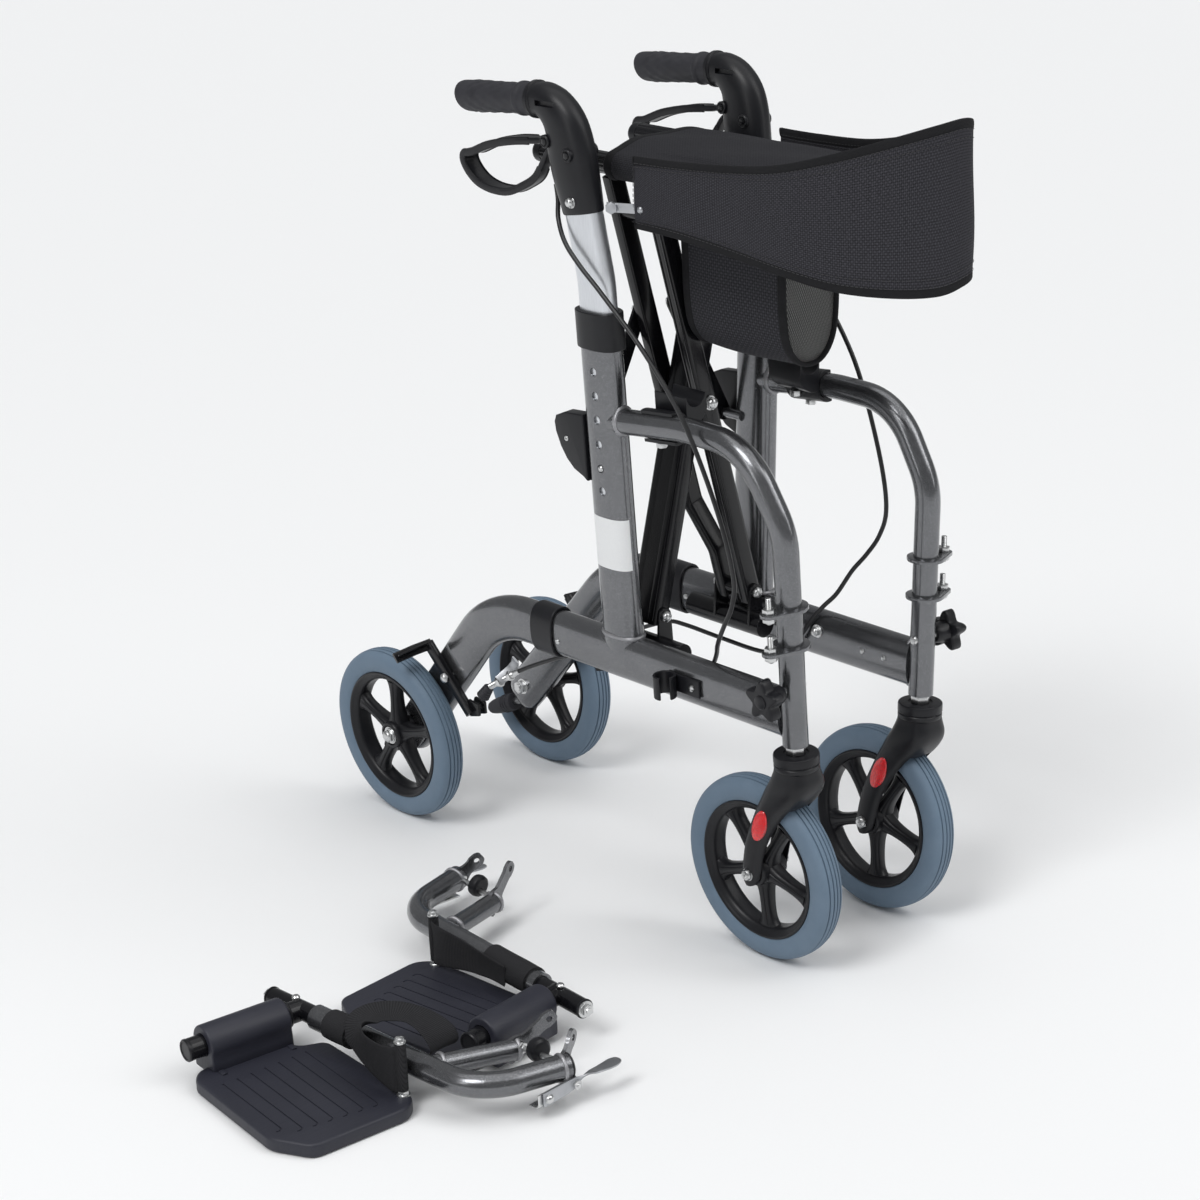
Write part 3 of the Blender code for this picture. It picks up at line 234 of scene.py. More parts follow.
def openMesh(wire, place):
    # open cells between dark yarns; the cells are painted pale, as painted light of the bright backdrop
    # showing through them
    cloth = wire.node("UVMap", {"uv_map": "cloth"})
    pitch = math.pi / 0.0034
    u = ((wire.part(cloth, 0) + wire.part(cloth, 1) * 0.58) * pitch).ridges()
    v = ((wire.part(cloth, 0) - wire.part(cloth, 1) * 0.58) * pitch).ridges()
    cells = u * v
    hole = cells.above(0.38, 0.08)
    yarn = wire.noise(place, 1500.0, 2.0)
    return {
        # the pale colour in the open cells is painted light that stands in for the bright backdrop seen
        # through the mesh
        "Base Color": hole.mixed((0.01, 0.01, 0.011), (0.26, 0.26, 0.25)),
        "Roughness": 0.55 + yarn * 0.2,
        "Alpha": 1 - hole * 0.45,
        "bump": (1 - cells, 0.0008, 0.5),
    }


def ribbedWebbing(wire, place):
    cloth = wire.node("UVMap", {"uv_map": "cloth"})
    rib = (wire.part(cloth, 0) * (math.pi / 0.0017)).ridges()
    yarn = (wire.part(cloth, 1) * (math.pi / 0.0022)).ridges()
    fuzz = wire.noise(place, 1200.0, 3.0)
    return {
        "Base Color": (rib * 0.6 + fuzz * 0.4).mixed((0.007, 0.007, 0.008), (0.03, 0.03, 0.033)),
        "Roughness": 0.72 + fuzz * 0.2,
        "bump": (rib * 0.8 + yarn * 0.25, 0.0007, 0.6),
    }


def stampedSteel(wire, place):
    cloud = wire.noise(place, 90.0, 4.0, 0.6)
    along = wire.noise(wire.node("Mapping", None, {0: place, 3: (120.0, 1500.0, 1500.0)}), 1.0, 2.0)
    return {
        "Base Color": cloud.mixed((0.36, 0.37, 0.39), (0.52, 0.53, 0.55)),
        "Roughness": 0.3 + cloud * 0.15 + along * 0.06,
        "bump": (along, 0.0001, 0.08),
    }


def redPrism(wire, place):
    # pressed reflector with fine cells
    cell = wire.node("TexVoronoi", {"feature": "DISTANCE_TO_EDGE"}, {"Vector": place, "Scale": 520.0})
    edge = cell.above(0.1, 0.06)
    return {
        "Base Color": edge.mixed((0.42, 0.006, 0.01), (0.92, 0.02, 0.026)),
        "Roughness": 0.12 + (1 - edge) * 0.25,
        "bump": (cell, 0.0006, 0.6),
    }


finish("pearlPaint", pearlPaint, metallic=0.86, coat_weight=0.45, coat_roughness=0.1)
finish("brushedSilver", brushedSilver, metallic=0.85)
finish("mouldedPlastic", mouldedPlastic, specular_ior_level=0.32)
finish("footPlastic", footPlastic, specular_ior_level=0.45)
glossLook = plain(
    (0.004, 0.004, 0.005), (0.009, 0.009, 0.011), 30.0, 2.0, 0.5, 0.16, 0.1, (260.0, 2.0), 0.0003, 0.06)
finish("glossBlack", glossLook, specular_ior_level=0.26, coat_weight=0.15, coat_roughness=0.06)
gripLook = plain(
    (0.013, 0.013, 0.017), (0.038, 0.038, 0.045), 55.0, 4.0, 0.6, 0.5, 0.22, (2300.0, 3.0, 0.7), 0.0003, 0.3)
finish("gripRubber", gripLook, specular_ior_level=0.4)
tyreLook = plain(
    (0.112, 0.168, 0.232), (0.16, 0.22, 0.29), 45.0, 5.0, 0.65, 0.5, 0.2, (1300.0, 2.0), 0.0002, 0.14)
finish("tyreRubber", tyreLook, specular_ior_level=0.4)
finish("cableSkin", plain((0.008, 0.008, 0.009), (0.016, 0.016, 0.018), 900.0, 2.0, 0.5, 0.3, 0.12))
finish("seatCloth", wovenCloth((0.005, 0.005, 0.006), (0.034, 0.034, 0.04), 0.0018), specular_ior_level=0.25)
finish(
    "strapCloth", wovenCloth((0.005, 0.005, 0.006), (0.06, 0.059, 0.069), 0.0018, 0.6),
    specular_ior_level=0.2)
finish(
    "bindingTape", wovenCloth((0.006, 0.006, 0.007), (0.016, 0.016, 0.018), 0.0009, 0.4),
    specular_ior_level=0.25)
finish(
    "bagCloth", wovenCloth((0.002, 0.002, 0.003), (0.056, 0.056, 0.065), 0.003, 0.8), specular_ior_level=0.25)
finish("openMesh", openMesh)
finish("ribbedWebbing", ribbedWebbing, specular_ior_level=0.25)
zincLook = plain(
    (0.52, 0.53, 0.54), (0.74, 0.74, 0.73), 130.0, 4.0, 0.6, 0.2, 0.18, (1600.0, 2.0), 0.0001, 0.1)
finish("zincPlate", zincLook, metallic=1.0)
finish("stampedSteel", stampedSteel, metallic=1.0)
finish("redPrism", redPrism, coat_weight=0.8, coat_roughness=0.05)
finish("blankLabel", plain((0.8, 0.81, 0.82), (0.87, 0.88, 0.88), 700.0, 3.0, 0.5, 0.34, 0.1))
weldLook = plain((0.22, 0.22, 0.23), (0.48, 0.48, 0.5), 700.0, 3.0, 0.6, 0.3, 0.2, "same", 0.0006, 0.4)
finish("weldMetal", weldLook, metallic=0.7)
finish("sewingThread", plain((0.02, 0.02, 0.022), (0.06, 0.06, 0.064), 2200.0, 2.0, 0.5, 0.6, 0.2))
finish(
    "studioPaper", plain((0.885, 0.89, 0.895), (0.9, 0.905, 0.91), 300.0, 2.0, 0.5, 0.9, 0.05),
    specular_ior_level=0.0)
print("finishes made")


# Making shapes
def frameAt(point, first, second, third):
    # a matrix with these columns, placed at a point
    place = Matrix((first, second, third)).transposed().to_4x4()
    place.translation = Vector(point)
    return place


def rounded(bm, edges, reach, segments=4):
    bmesh.ops.bevel(
        bm, geom=edges, offset=reach, offset_type="OFFSET", segments=segments, profile=0.5,
        affect="EDGES", material=-1)


def wrapped(bm):
    # one tight skin round what is there
    hull = bmesh.ops.convex_hull(bm, input=bm.verts[:])
    spare = [g for g in hull["geom_interior"] + hull["geom_unused"] if isinstance(g, bmesh.types.BMVert)]
    bmesh.ops.delete(bm, geom=spare, context="VERTS")
    bmesh.ops.dissolve_limit(bm, angle_limit=0.01, verts=bm.verts[:], edges=bm.edges[:])
    return bm


def mapped(bm, rule):
    # the map named cloth, whose units are metres
    layer = bm.loops.layers.uv.new("cloth")
    for face in bm.faces:
        for loop in face.loops:
            loop[layer].uv = rule(loop.vert.co)
    return bm


def mirrored(half):
    # a profile of (radius, along) and its other half
    return list(half) + [(r, -a) for r, a in half[::-1]]


def arcPoints(radius, angles):
    # points on a circle, with the angles in degrees
    return [(radius * math.cos(math.radians(a)), radius * math.sin(math.radians(a))) for a in angles]


def squareOff(verts, power):
    # a unit circle pushed towards a square
    for vert in verts:
        for k in (0, 1):
            vert.co[k] = math.copysign(abs(vert.co[k]) ** (2 / power), vert.co[k])


def roundedPath(points, radii, step=6):
    # corners become arcs
    out = [Vector(points[0])]
    for i in range(1, len(points) - 1):
        corner = Vector(points[i])
        back = (Vector(points[i - 1]) - corner).normalized()
        ahead = (Vector(points[i + 1]) - corner).normalized()
        turn = math.pi - back.angle(ahead)
        radius = radii[i - 1] if isinstance(radii, list) else radii
        centre = corner + (back + ahead).normalized() * (radius / math.cos(turn / 2))
        start = corner + back * (radius * math.tan(turn / 2)) - centre
        axis = start.cross(corner + ahead * (radius * math.tan(turn / 2)) - centre).normalized()
        count = max(3, math.ceil(math.degrees(turn) / step))
        out += [centre + Matrix.Rotation(turn * k / count, 3, axis) @ start for k in range(count + 1)]
    return out + [Vector(points[-1])]


def smoothPath(points, per=6):
    # a Catmull-Rom line through points of any number of values
    count = len(points)
    size = len(points[0])
    out = []
    for i in range(count - 1):
        four = [points[max(i - 1, 0)], points[i], points[i + 1], points[min(i + 2, count - 1)]]
        for k in range(per):
            t = k / per
            row = []
            for n in range(size):
                a, b, c, d = (p[n] for p in four)
                start = 2 * b + (c - a) * t + (2 * a - 5 * b + 4 * c - d) * t * t
                row.append(0.5 * (start + (3 * b - a - 3 * c + d) * t ** 3))
            out.append(tuple(row))
    out.append(tuple(points[-1]))
    return out


def pathPlaces(path, across=None):
    # a matrix at each point: first column in the bend, second across it, third along
    path = [Vector(p) for p in path]
    steps = [(b - a).normalized() for a, b in zip(path, path[1:])]
    side = Vector(across) if across is not None else steps[0].orthogonal()
    places = []
    for i, point in enumerate(path):
        along = (steps[max(i - 1, 0)] + steps[min(i, len(steps) - 1)]).normalized()
        grow = 1 / max(0.6, along.dot(steps[min(i, len(steps) - 1)]))
        flat = (side - along * side.dot(along)).normalized()
        if across is None:
            side = flat
        bend = along.cross(flat) * (grow if across is not None else 1)
        places.append(frameAt(point, bend, flat, along))
    return places


def ringEdges(ring):
    held = set(ring)
    return list({edge for vert in ring for edge in vert.link_edges if edge.other_vert(vert) in held})


def skin(bm, places, sizes, segments=24, power=2.0, loop=False):
    # a ring pushed out from place to place
    ring = bmesh.ops.create_circle(bm, segments=segments, radius=1)["verts"]
    squareOff(ring, power)
    last = places[0] @ Matrix.Diagonal((*sizes[0], 1, 1))
    bmesh.ops.transform(bm, matrix=last, verts=ring)
    first = ring
    for place, size in zip(places[1:], sizes[1:]):
        grown = bmesh.ops.extrude_edge_only(bm, edges=ringEdges(ring))["geom"]
        ring = [g for g in grown if isinstance(g, bmesh.types.BMVert)]
        here = place @ Matrix.Diagonal((*size, 1, 1))
        bmesh.ops.transform(bm, matrix=here @ last.inverted(), verts=ring)
        last = here
    if loop:
        bmesh.ops.bridge_loops(bm, edges=ringEdges(first) + ringEdges(ring))
    else:
        bmesh.ops.contextual_create(bm, geom=ringEdges(first))
        bmesh.ops.contextual_create(bm, geom=ringEdges(ring))


def tube(bm, path, across, down, wide, segments=28, power=2.5):
    # an oval tube: down is half its size in the bend, wide is half its size across
    skin(bm, pathPlaces(path, across), [(down, wide)] * len(path), segments, power)


def roundBar(bm, path, radius, segments=16):
    skin(bm, pathPlaces(path), [(radius, radius)] * len(path), segments)


def rod(bm, start, end, radius, segments=20):
    # a straight pin between two points
    start = Vector(start)
    end = Vector(end)
    turn = (end - start).to_track_quat("Z", "Y").to_matrix().to_4x4()
    place = Matrix.Translation((start + end) / 2) @ turn
    made = bmesh.ops.create_cone(
        bm, cap_ends=True, segments=segments, radius1=radius, radius2=radius, depth=(end - start).length,
        matrix=place)
    return made["verts"]


def block(bm, low, high):
    low = Vector(low)
    high = Vector(high)
    place = Matrix.Translation((low + high) / 2) @ Matrix.Diagonal((*(high - low), 1))
    bmesh.ops.create_cube(bm, size=1, matrix=place)


def turned(bm, profile, centre, axis, steps=48):
    # a profile of (radius, along) spun round an axis
    axis = Vector(axis).normalized()
    centre = Vector(centre)
    out = axis.orthogonal().normalized()
    verts = [bm.verts.new(centre + out * r + axis * a) for r, a in profile]
    edges = [bm.edges.new(pair) for pair in zip(verts, verts[1:])]
    bmesh.ops.spin(
        bm, geom=verts + edges, cent=centre, axis=axis, angle=2 * math.pi, steps=steps, use_merge=True,
        dvec=(0, 0, 0))


def ring(bm, profile, centre, axis, steps=64):
    # a closed profile spun, as a tyre is
    turned(bm, list(profile) + [profile[0]], centre, axis, steps)


def plate(bm, outline, push):
    # a flat outline of points pushed to a thickness
    face = bm.faces.new([bm.verts.new(Vector(p)) for p in outline])
    grown = bmesh.ops.extrude_face_region(bm, geom=[face])["geom"]
    bmesh.ops.translate(bm, vec=Vector(push), verts=[g for g in grown if isinstance(g, bmesh.types.BMVert)])


def hexNut(bm, centre, direction, radius, high):
    direction = Vector(direction).normalized()
    centre = Vector(centre)
    verts = rod(bm, centre, centre + direction * high, radius, 6)
    rounded(bm, list({e for v in verts for e in v.link_edges}), high * 0.08, 2)


def domeNut(bm, centre, direction, radius, high):
    # acorn nut: a hexagon with a round crown
    direction = Vector(direction).normalized()
    centre = Vector(centre)
    hexNut(bm, centre, direction, radius, high * 0.5)
    crown = [(radius * 0.84 * x, high * (0.5 + 0.5 * y)) for x, y in arcPoints(1.0, range(0, 90, 15))]
    turned(bm, [(radius * 0.84, high * 0.3)] + crown + [(0.0, high)], centre, direction, 20)


def washer(bm, centre, direction, outer, high):
    rod(bm, centre, Vector(centre) + Vector(direction).normalized() * high, outer, 28)


def thread(bm, start, end, radius, pitch=0.001):
    # a threaded stud as a row of ridges
    start = Vector(start)
    end = Vector(end)
    count = max(3, round((end - start).length / pitch))
    profile = [(0.0, 0.0)]
    for k in range(count):
        profile += [(radius * 0.9, pitch * k), (radius, pitch * (k + 0.5))]
    profile += [(radius * 0.85, pitch * count), (0.0, pitch * count)]
    turned(bm, profile, start, end - start, 14)


def weldBead(bm, place, down, wide, thick=0.0021, power=2.5, ripples=46):
    # a rippled bead lying round an oval join
    steps = ripples * 2
    places = []
    sizes = []
    for k in range(steps):
        t = 2 * math.pi * k / steps
        x = math.copysign(abs(math.cos(t)) ** (2 / power) * down, math.cos(t))
        y = math.copysign(abs(math.sin(t)) ** (2 / power) * wide, math.sin(t))
        out = Vector((math.cos(t) / down, math.sin(t) / wide, 0)).normalized()
        along = Vector((-out.y, out.x, 0))
        fat = thick * (1.0 if k % 2 else 0.78) * (1 + 0.12 * math.sin(5.3 * t + 1.0))
        places.append(place @ frameAt((x, y, 0), out, upward, along))
        sizes.append((fat, fat * 1.25))
    skin(bm, places, sizes, 8, 2.0, loop=True)


def placeAt(point, along, across):
    # a matrix whose third column looks along and whose second is across
    along = Vector(along).normalized()
    across = Vector(across)
    across = (across - along * across.dot(along)).normalized()
    return frameAt(point, across.cross(along) * -1, across, along)


# Each side frame leans outward about a point at its rail
sideLean = {"angle": math.radians(2.77), "out": 0.094, "height": 0.3}


def sideMatrix(s):
    c = math.cos(sideLean["angle"])
    n = math.sin(sideLean["angle"])
    high = sideLean["height"]
    tilt = Matrix(
        ((c, 0, n, sideLean["out"] - high * n), (0, 1, 0, 0), (-n, 0, c, high - high * c), (0, 0, 0, 1)))
    return Matrix.Translation(shift) @ Matrix.Diagonal((s, 1, 1, 1)) @ tilt


def carve(bm, cutters):
    # the cutters' shapes are taken out of the piece
    body = bpy.data.meshes.new("carved")
    bmesh.ops.remove_doubles(bm, verts=bm.verts[:], dist=1e-6)
    bmesh.ops.recalc_face_normals(bm, faces=bm.faces[:])
    bm.to_mesh(body)
    bm.free()
    work = bpy.data.objects.new("carved", body)
    bpy.context.scene.collection.objects.link(work)
    tools = []
    for cutter in cutters:
        bmesh.ops.recalc_face_normals(cutter, faces=cutter.faces[:])
        mesh = bpy.data.meshes.new("cutter")
        cutter.to_mesh(mesh)
        cutter.free()
        tool = bpy.data.objects.new("cutter", mesh)
        bpy.context.scene.collection.objects.link(tool)
        tools.append(tool)
        modifier = work.modifiers.new("cut", "BOOLEAN")
        modifier.operation = "DIFFERENCE"
        modifier.solver = "EXACT"
        modifier.object = tool
    graph = bpy.context.evaluated_depsgraph_get()
    result = bmesh.new()
    result.from_mesh(work.evaluated_get(graph).to_mesh())
    for item in [work] + tools:
        bpy.data.objects.remove(item, do_unlink=True)
    return result


def shaped(build, *values):
    # a new bmesh with one shape in it
    bm = bmesh.new()
    build(bm, *values)
    return bm


# The colour slot that goes with a finish
slotOf = {
    "pearlPaint": "frame_metal", "weldMetal": "frame_metal", "brushedSilver": "silver_tube",
    "glossBlack": "black_tube", "mouldedPlastic": "black_plastic", "footPlastic": "black_plastic",
    "gripRubber": "black_plastic", "zincPlate": "latch_steel", "stampedSteel": "latch_steel",
    "tyreRubber": "tyre_rubber", "cableSkin": "cable_jacket", "ribbedWebbing": "webbing",
    "seatCloth": "fabric", "strapCloth": "fabric", "bindingTape": "fabric", "bagCloth": "fabric",
    "openMesh": "fabric", "sewingThread": "fabric"}


def piece(name, bm, material, body, nodes=(), matrix=None, bevel=0.0, sharp=35, slot=None):
    # the shape becomes an object that rides on a body
    if matrix is not None:
        bmesh.ops.transform(bm, matrix=matrix, verts=bm.verts[:])
    bmesh.ops.remove_doubles(bm, verts=bm.verts[:], dist=2e-6)
    bmesh.ops.recalc_face_normals(bm, faces=bm.faces[:])
    mesh = bpy.data.meshes.new(name)
    bm.to_mesh(mesh)
    bm.free()
    mesh.materials.append(finishes[material])
    mesh.shade_smooth()
    mesh.set_sharp_from_angle(angle=math.radians(sharp))
    obj = bpy.data.objects.new(name, mesh)
    bpy.context.scene.collection.objects.link(obj)
    if bevel:
        modifier = obj.modifiers.new("edges", "BEVEL")
        modifier.width = bevel
        modifier.segments = 3
        modifier.limit_method = "ANGLE"
        modifier.angle_limit = math.radians(35)
    if body:
        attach(obj, body)
    if nodes:
        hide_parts(*nodes)
    slot = slot or slotOf.get(material)
    return obj


def bothSides(name, build, material, body, node=None, **extra):
    # the same shape for the left and the right, leaned and mirrored
    for word, s in sides:
        nodes = [word + "_" + node] if node else []
        piece(
            word + name[0].upper() + name[1:], build(), material, word + "_" + body, nodes, sideMatrix(s),
            **extra)


def joined(*parts):
    # several shapes in one bmesh
    whole = parts[0]
    for part in parts[1:]:
        mesh = bpy.data.meshes.new("part")
        part.to_mesh(mesh)
        part.free()
        whole.from_mesh(mesh)
        bpy.data.meshes.remove(mesh)
    return whole


# Side frames: rail, upright with its row of holes, round arch that becomes the front post
frameTube = {
    "ovalDown": 0.025, "ovalWide": 0.014, "railWide": 0.0143, "wall": 0.0017, "roundRadius": 0.013,
    "postFoot": 0.2516, "uprightTop": 0.64,
    "holeHeights": (0.591, 0.566, 0.541, 0.5155, 0.49, 0.466), "holeRadius": 0.0045,
    "ringHeights": (0.397, 0.357), "ringRadius": 0.0195, "pinOut": 0.027,
}
linkPin = {"x": 0.091, "z": 0.498}
linkBoss = linkPin["x"] - sideLean["out"] - (linkPin["z"] - sideLean["height"]) * math.sin(sideLean["angle"])


def sideFrameShape():
    t = frameTube
    y = uprightY
    down = t["ovalDown"]
    wide = t["ovalWide"]
    upright = shaped(tube, [(0, y, 0.277), (0, y, t["uprightTop"])], sideways, down, wide, 40)
    bore = shaped(tube, [(0, y, 0.33), (0, y, 0.7)], sideways, down - t["wall"], wide - t["wall"], 36)
    holes = [shaped(rod, (0.002, y, z), (0.02, y, z), t["holeRadius"], 20) for z in t["holeHeights"]]
    upright = carve(upright, [bore] + holes)
    ends = [(0, 0.045, railHeight), (0, postY + 0.009, railHeight)]
    rail = shaped(tube, ends, sideways, down, t["railWide"], 40)
    corners = [
        (0, -0.078, 0.5395), (0, -0.185, 0.5505), (0, -0.268, 0.549), (0, postY, 0.472),
        (0, postY, t["postFoot"])]
    archLine = roundedPath(corners, [0.2, 0.075, 0.075], 4)
    arch = shaped(roundBar, archLine, t["roundRadius"], 32)
    whole = joined(upright, rail, arch)
    for z in t["ringHeights"]:
        # washer plate with an ear for the pin
        disc = bmesh.new()
        for x, radius, segments in ((0, t["ringRadius"], 40), (t["pinOut"], 0.009, 24)):
            rod(disc, (x, postY, z - 0.002), (x, postY, z + 0.002), radius, segments)
        wrapped(disc)
        rounded(disc, [e for e in disc.edges if e.calc_face_angle(0) > 1], 0.0006, 2)
        whole = joined(whole, disc)
    rod(whole, (linkBoss, -0.062, linkPin["z"]), (linkBoss, -0.0355, linkPin["z"]), 0.0055, 24)
    return whole


def weldShape():
    t = frameTube
    bm = bmesh.new()
    down = t["ovalDown"]
    post = t["roundRadius"]
    weldBead(bm, placeAt((0, uprightY, railHeight + 0.025), upward, sideways), down, t["ovalWide"], 0.002)
    arch = placeAt((0, uprightY - down - 0.0002, 0.5415), (0, -1, 0.1), sideways)
    weldBead(bm, arch, post + 0.0004, post * 0.93, 0.0029, 2.0, 30)
    rail = placeAt((0, postY + 0.0125, railHeight), forward, sideways)
    weldBead(bm, rail, down - 0.0006, t["railWide"] - 0.003, 0.002)
    for z in t["ringHeights"]:
        weldBead(bm, placeAt((0, postY, z - 0.0022), upward, sideways), post, post, 0.0014, 2.0, 26)
    return bm


def frameBoltShape():
    t = frameTube
    bm = bmesh.new()
    x = t["pinOut"]
    for z in t["ringHeights"]:
        thread(bm, (x, postY, z - 0.009), (x, postY, z + 0.018), 0.003)
        hexNut(bm, (x, postY, z + 0.0021), upward, 0.0066, 0.0048)
        hexNut(bm, (x, postY, z - 0.0068), upward, 0.0066, 0.0046)
    # spring button in the fifth hole
    button = [(0.0, 0.0), (0.0036, 0.0), (0.0036, 0.002), (0.003, 0.0034), (0.0016, 0.0043), (0.0, 0.0046)]
    turned(bm, button, (0.0112, uprightY, 0.49), sideways, 24)
    # rivets in the rail, one right through it and two from the inside
    rivet = [
        (0.0, -0.002), (0.003, -0.002), (0.003, 0.0003), (0.0024, 0.0013), (0.0011, 0.0016), (0.0008, 0.001),
        (0.0, 0.0009)]
    for out, y, z in ((1, 0.0205, 0.279), (-1, 0.0205, 0.279), (-1, -0.245, 0.283), (-1, -0.275, 0.283)):
        turned(bm, rivet, (out * t["railWide"], y, z), (out, 0, 0), 20)
    hexNut(bm, (linkBoss, -0.0308, linkPin["z"]), forward, 0.0058, 0.0038)
    return bm


bothSides("sideFrame", sideFrameShape, "pearlPaint", "frame", "side_frame", sharp=40)
bothSides("frameWelds", weldShape, "weldMetal", "frame", None, sharp=70)
bothSides("frameBolts", frameBoltShape, "zincPlate", "frame")
print("side frames done")

# Rear legs, the collars that join them to the rails, and the tipping pegs
rearLeg = {
    "axleY": 0.3005, "turn": 48.5, "bendStart": 0.08, "bendRadius": 0.13, "scoopRadius": 0.15,
    "scoopOut": 0.0085}
pegWay = Vector((0, 0.909, -0.418))
pegFoot = Vector((-0.004, 0.306, 0.0815))


def rearLegShape():
    leg = rearLeg
    bend = leg["bendRadius"]
    line = [(0, 0.0453, railHeight)]
    for k in range(17):
        turn = math.radians(leg["turn"]) * k / 16
        line.append((0, leg["bendStart"] + bend * math.sin(turn), railHeight - bend * (1 - math.cos(turn))))
    way = Vector((0, leg["axleY"] - 0.1766, wheelRadius - 0.24)).normalized()
    axle = Vector((0, leg["axleY"], wheelRadius))
    bm = bmesh.new()
    steps = [Vector(p) for p in line] + [axle + way * d for d in (0.0, 0.015, 0.021, 0.0245, 0.026)]
    places = pathPlaces(steps, sideways)
    sizes = [(0.025, 0.014)] * (len(steps) - 4) + [
        (0.0245, 0.0138), (0.0215, 0.0128), (0.0165, 0.0105), (0.008, 0.006)]
    skin(bm, places, sizes, 40, 2.5)
    scoop = shaped(rod, (leg["scoopOut"], *axle.yz), (0.06, *axle.yz), leg["scoopRadius"], 96)
    return carve(bm, [scoop])


def legBoltShape():
    y = rearLeg["axleY"]
    z = wheelRadius
    bm = bmesh.new()
    rod(bm, (-0.022, y, z), (0.0485, y, z), 0.004, 20)
    domeNut(bm, (0.043, y, z), sideways, 0.0078, 0.0068)
    washer(bm, (0.0422, y, z), sideways, 0.0086, 0.0009)
    rod(bm, (0.007, y, z), (0.012, y, z), 0.0078, 28)
    hexNut(bm, (-0.0138, y, z), (-1, 0, 0), 0.008, 0.0068)
    washer(bm, (-0.0128, y, z), (-1, 0, 0), 0.0092, 0.0012)
    # brake pivot bolt with a lock nut
    rod(bm, (0.0065, 0.217, 0.186), (0.0225, 0.217, 0.186), 0.003, 16)
    domeNut(bm, (0.0184, 0.217, 0.186), sideways, 0.006, 0.0056)
    domeNut(bm, (-0.0135, 0.214, 0.182), (-1, 0, 0), 0.0066, 0.0072)
    return bm


def collarShape():
    line = [(0, y, railHeight) for y in (0.028, 0.0295, 0.0605, 0.062)]
    room = shaped(tube, [(0, 0.02, railHeight), (0, 0.07, railHeight)], sideways, 0.0253, 0.0146, 44)
    return carve(shaped(tube, line, sideways, 0.0282, 0.0172, 48), [room])


def pegShape():
    # a rubber sleeve, flattened to a tongue at its end
    bm = bmesh.new()
    rows = (
        (0.022, 0.0088, 0.0088), (0.0228, 0.0102, 0.0102), (0.0245, 0.0106, 0.0106), (0.04, 0.0105, 0.0105),
        (0.052, 0.0098, 0.0104), (0.06, 0.0088, 0.0104), (0.064, 0.0078, 0.01), (0.0665, 0.006, 0.0084),
        (0.067, 0.0035, 0.005))
    places = [placeAt(pegFoot + pegWay * row[0], pegWay, sideways) for row in rows]
    skin(bm, places, [row[1:] for row in rows], 28, 2.2)
    for along in (0.03, 0.0345, 0.039):
        rib = [
            (0.01, along - 0.0009), (0.0113, along - 0.0006), (0.0113, along + 0.0006),
            (0.01, along + 0.0009)]
        ring(bm, rib, pegFoot, pegWay, 28)
    return bm


def pegStubShape():
    return shaped(rod, pegFoot, pegFoot + pegWay * 0.03, 0.005)


bothSides("rearLeg", rearLegShape, "pearlPaint", "frame", "rear_leg", sharp=40)
bothSides("legBolts", legBoltShape, "zincPlate", "frame")
bothSides("pegStub", pegStubShape, "pearlPaint", "frame")
bothSides("legCollar", collarShape, "mouldedPlastic", "frame", "rear_leg_collar", bevel=0.0012)
bothSides("tippingPeg", pegShape, "gripRubber", "frame", "tipping_peg")
print("rear legs done")


# Clamp collar, handle tube and the plastic housing that turns it into the grip
def clampShape():
    inner = shaped(tube, [(0, uprightY, 0.6), (0, uprightY, 0.6403)], sideways, 0.0253, 0.0143, 44)
    upper = shaped(tube, [(0, uprightY, 0.6), (0, uprightY, 0.66)], sideways, 0.0233, 0.0123, 44)
    line = [(0, uprightY, z) for z in (0.614, 0.616, 0.65, 0.652)]
    return carve(shaped(tube, line, sideways, 0.028, 0.017, 48), [inner, upper])


handle = {"low": 0.44, "bendAt": 0.682, "reach": 0.113, "tilt": math.radians(9.5)}
handleLine = [
    (0, uprightY, handle["low"]), (0, uprightY, handle["bendAt"]),
    (0, uprightY + handle["reach"] * math.sin(handle["tilt"]),
    handle["bendAt"] + handle["reach"] * math.cos(handle["tilt"]))]


def handleTubeShape():
    return shaped(tube, roundedPath(handleLine, 0.1, 2), sideways, 0.023, 0.012, 44)


housingRows = (
    (-0.0586, 0.747, 9.5, 0.024, 0.0136), (-0.0582, 0.7492, 9.5, 0.0249, 0.0144),
    (-0.0568, 0.758, 9, 0.0257, 0.0152), (-0.0515, 0.785, 8, 0.0277, 0.017),
    (-0.0475, 0.81, 15, 0.0277, 0.0174), (-0.0425, 0.829, 32, 0.025, 0.0172),
    (-0.0315, 0.8435, 60, 0.021, 0.017), (-0.018, 0.851, 82, 0.0178, 0.0166),
    (-0.0085, 0.8517, 94.5, 0.0168, 0.0165))


def tiltPlace(y, z, tilt):
    t = math.radians(tilt)
    along = Vector((0, math.cos(t), -math.sin(t)))
    return frameAt((0, y, z), along, sideways, along.cross(sideways))


housingScrews = ((-0.06, 0.806), (-0.029, 0.816))
leverPivot = housingScrews[1]


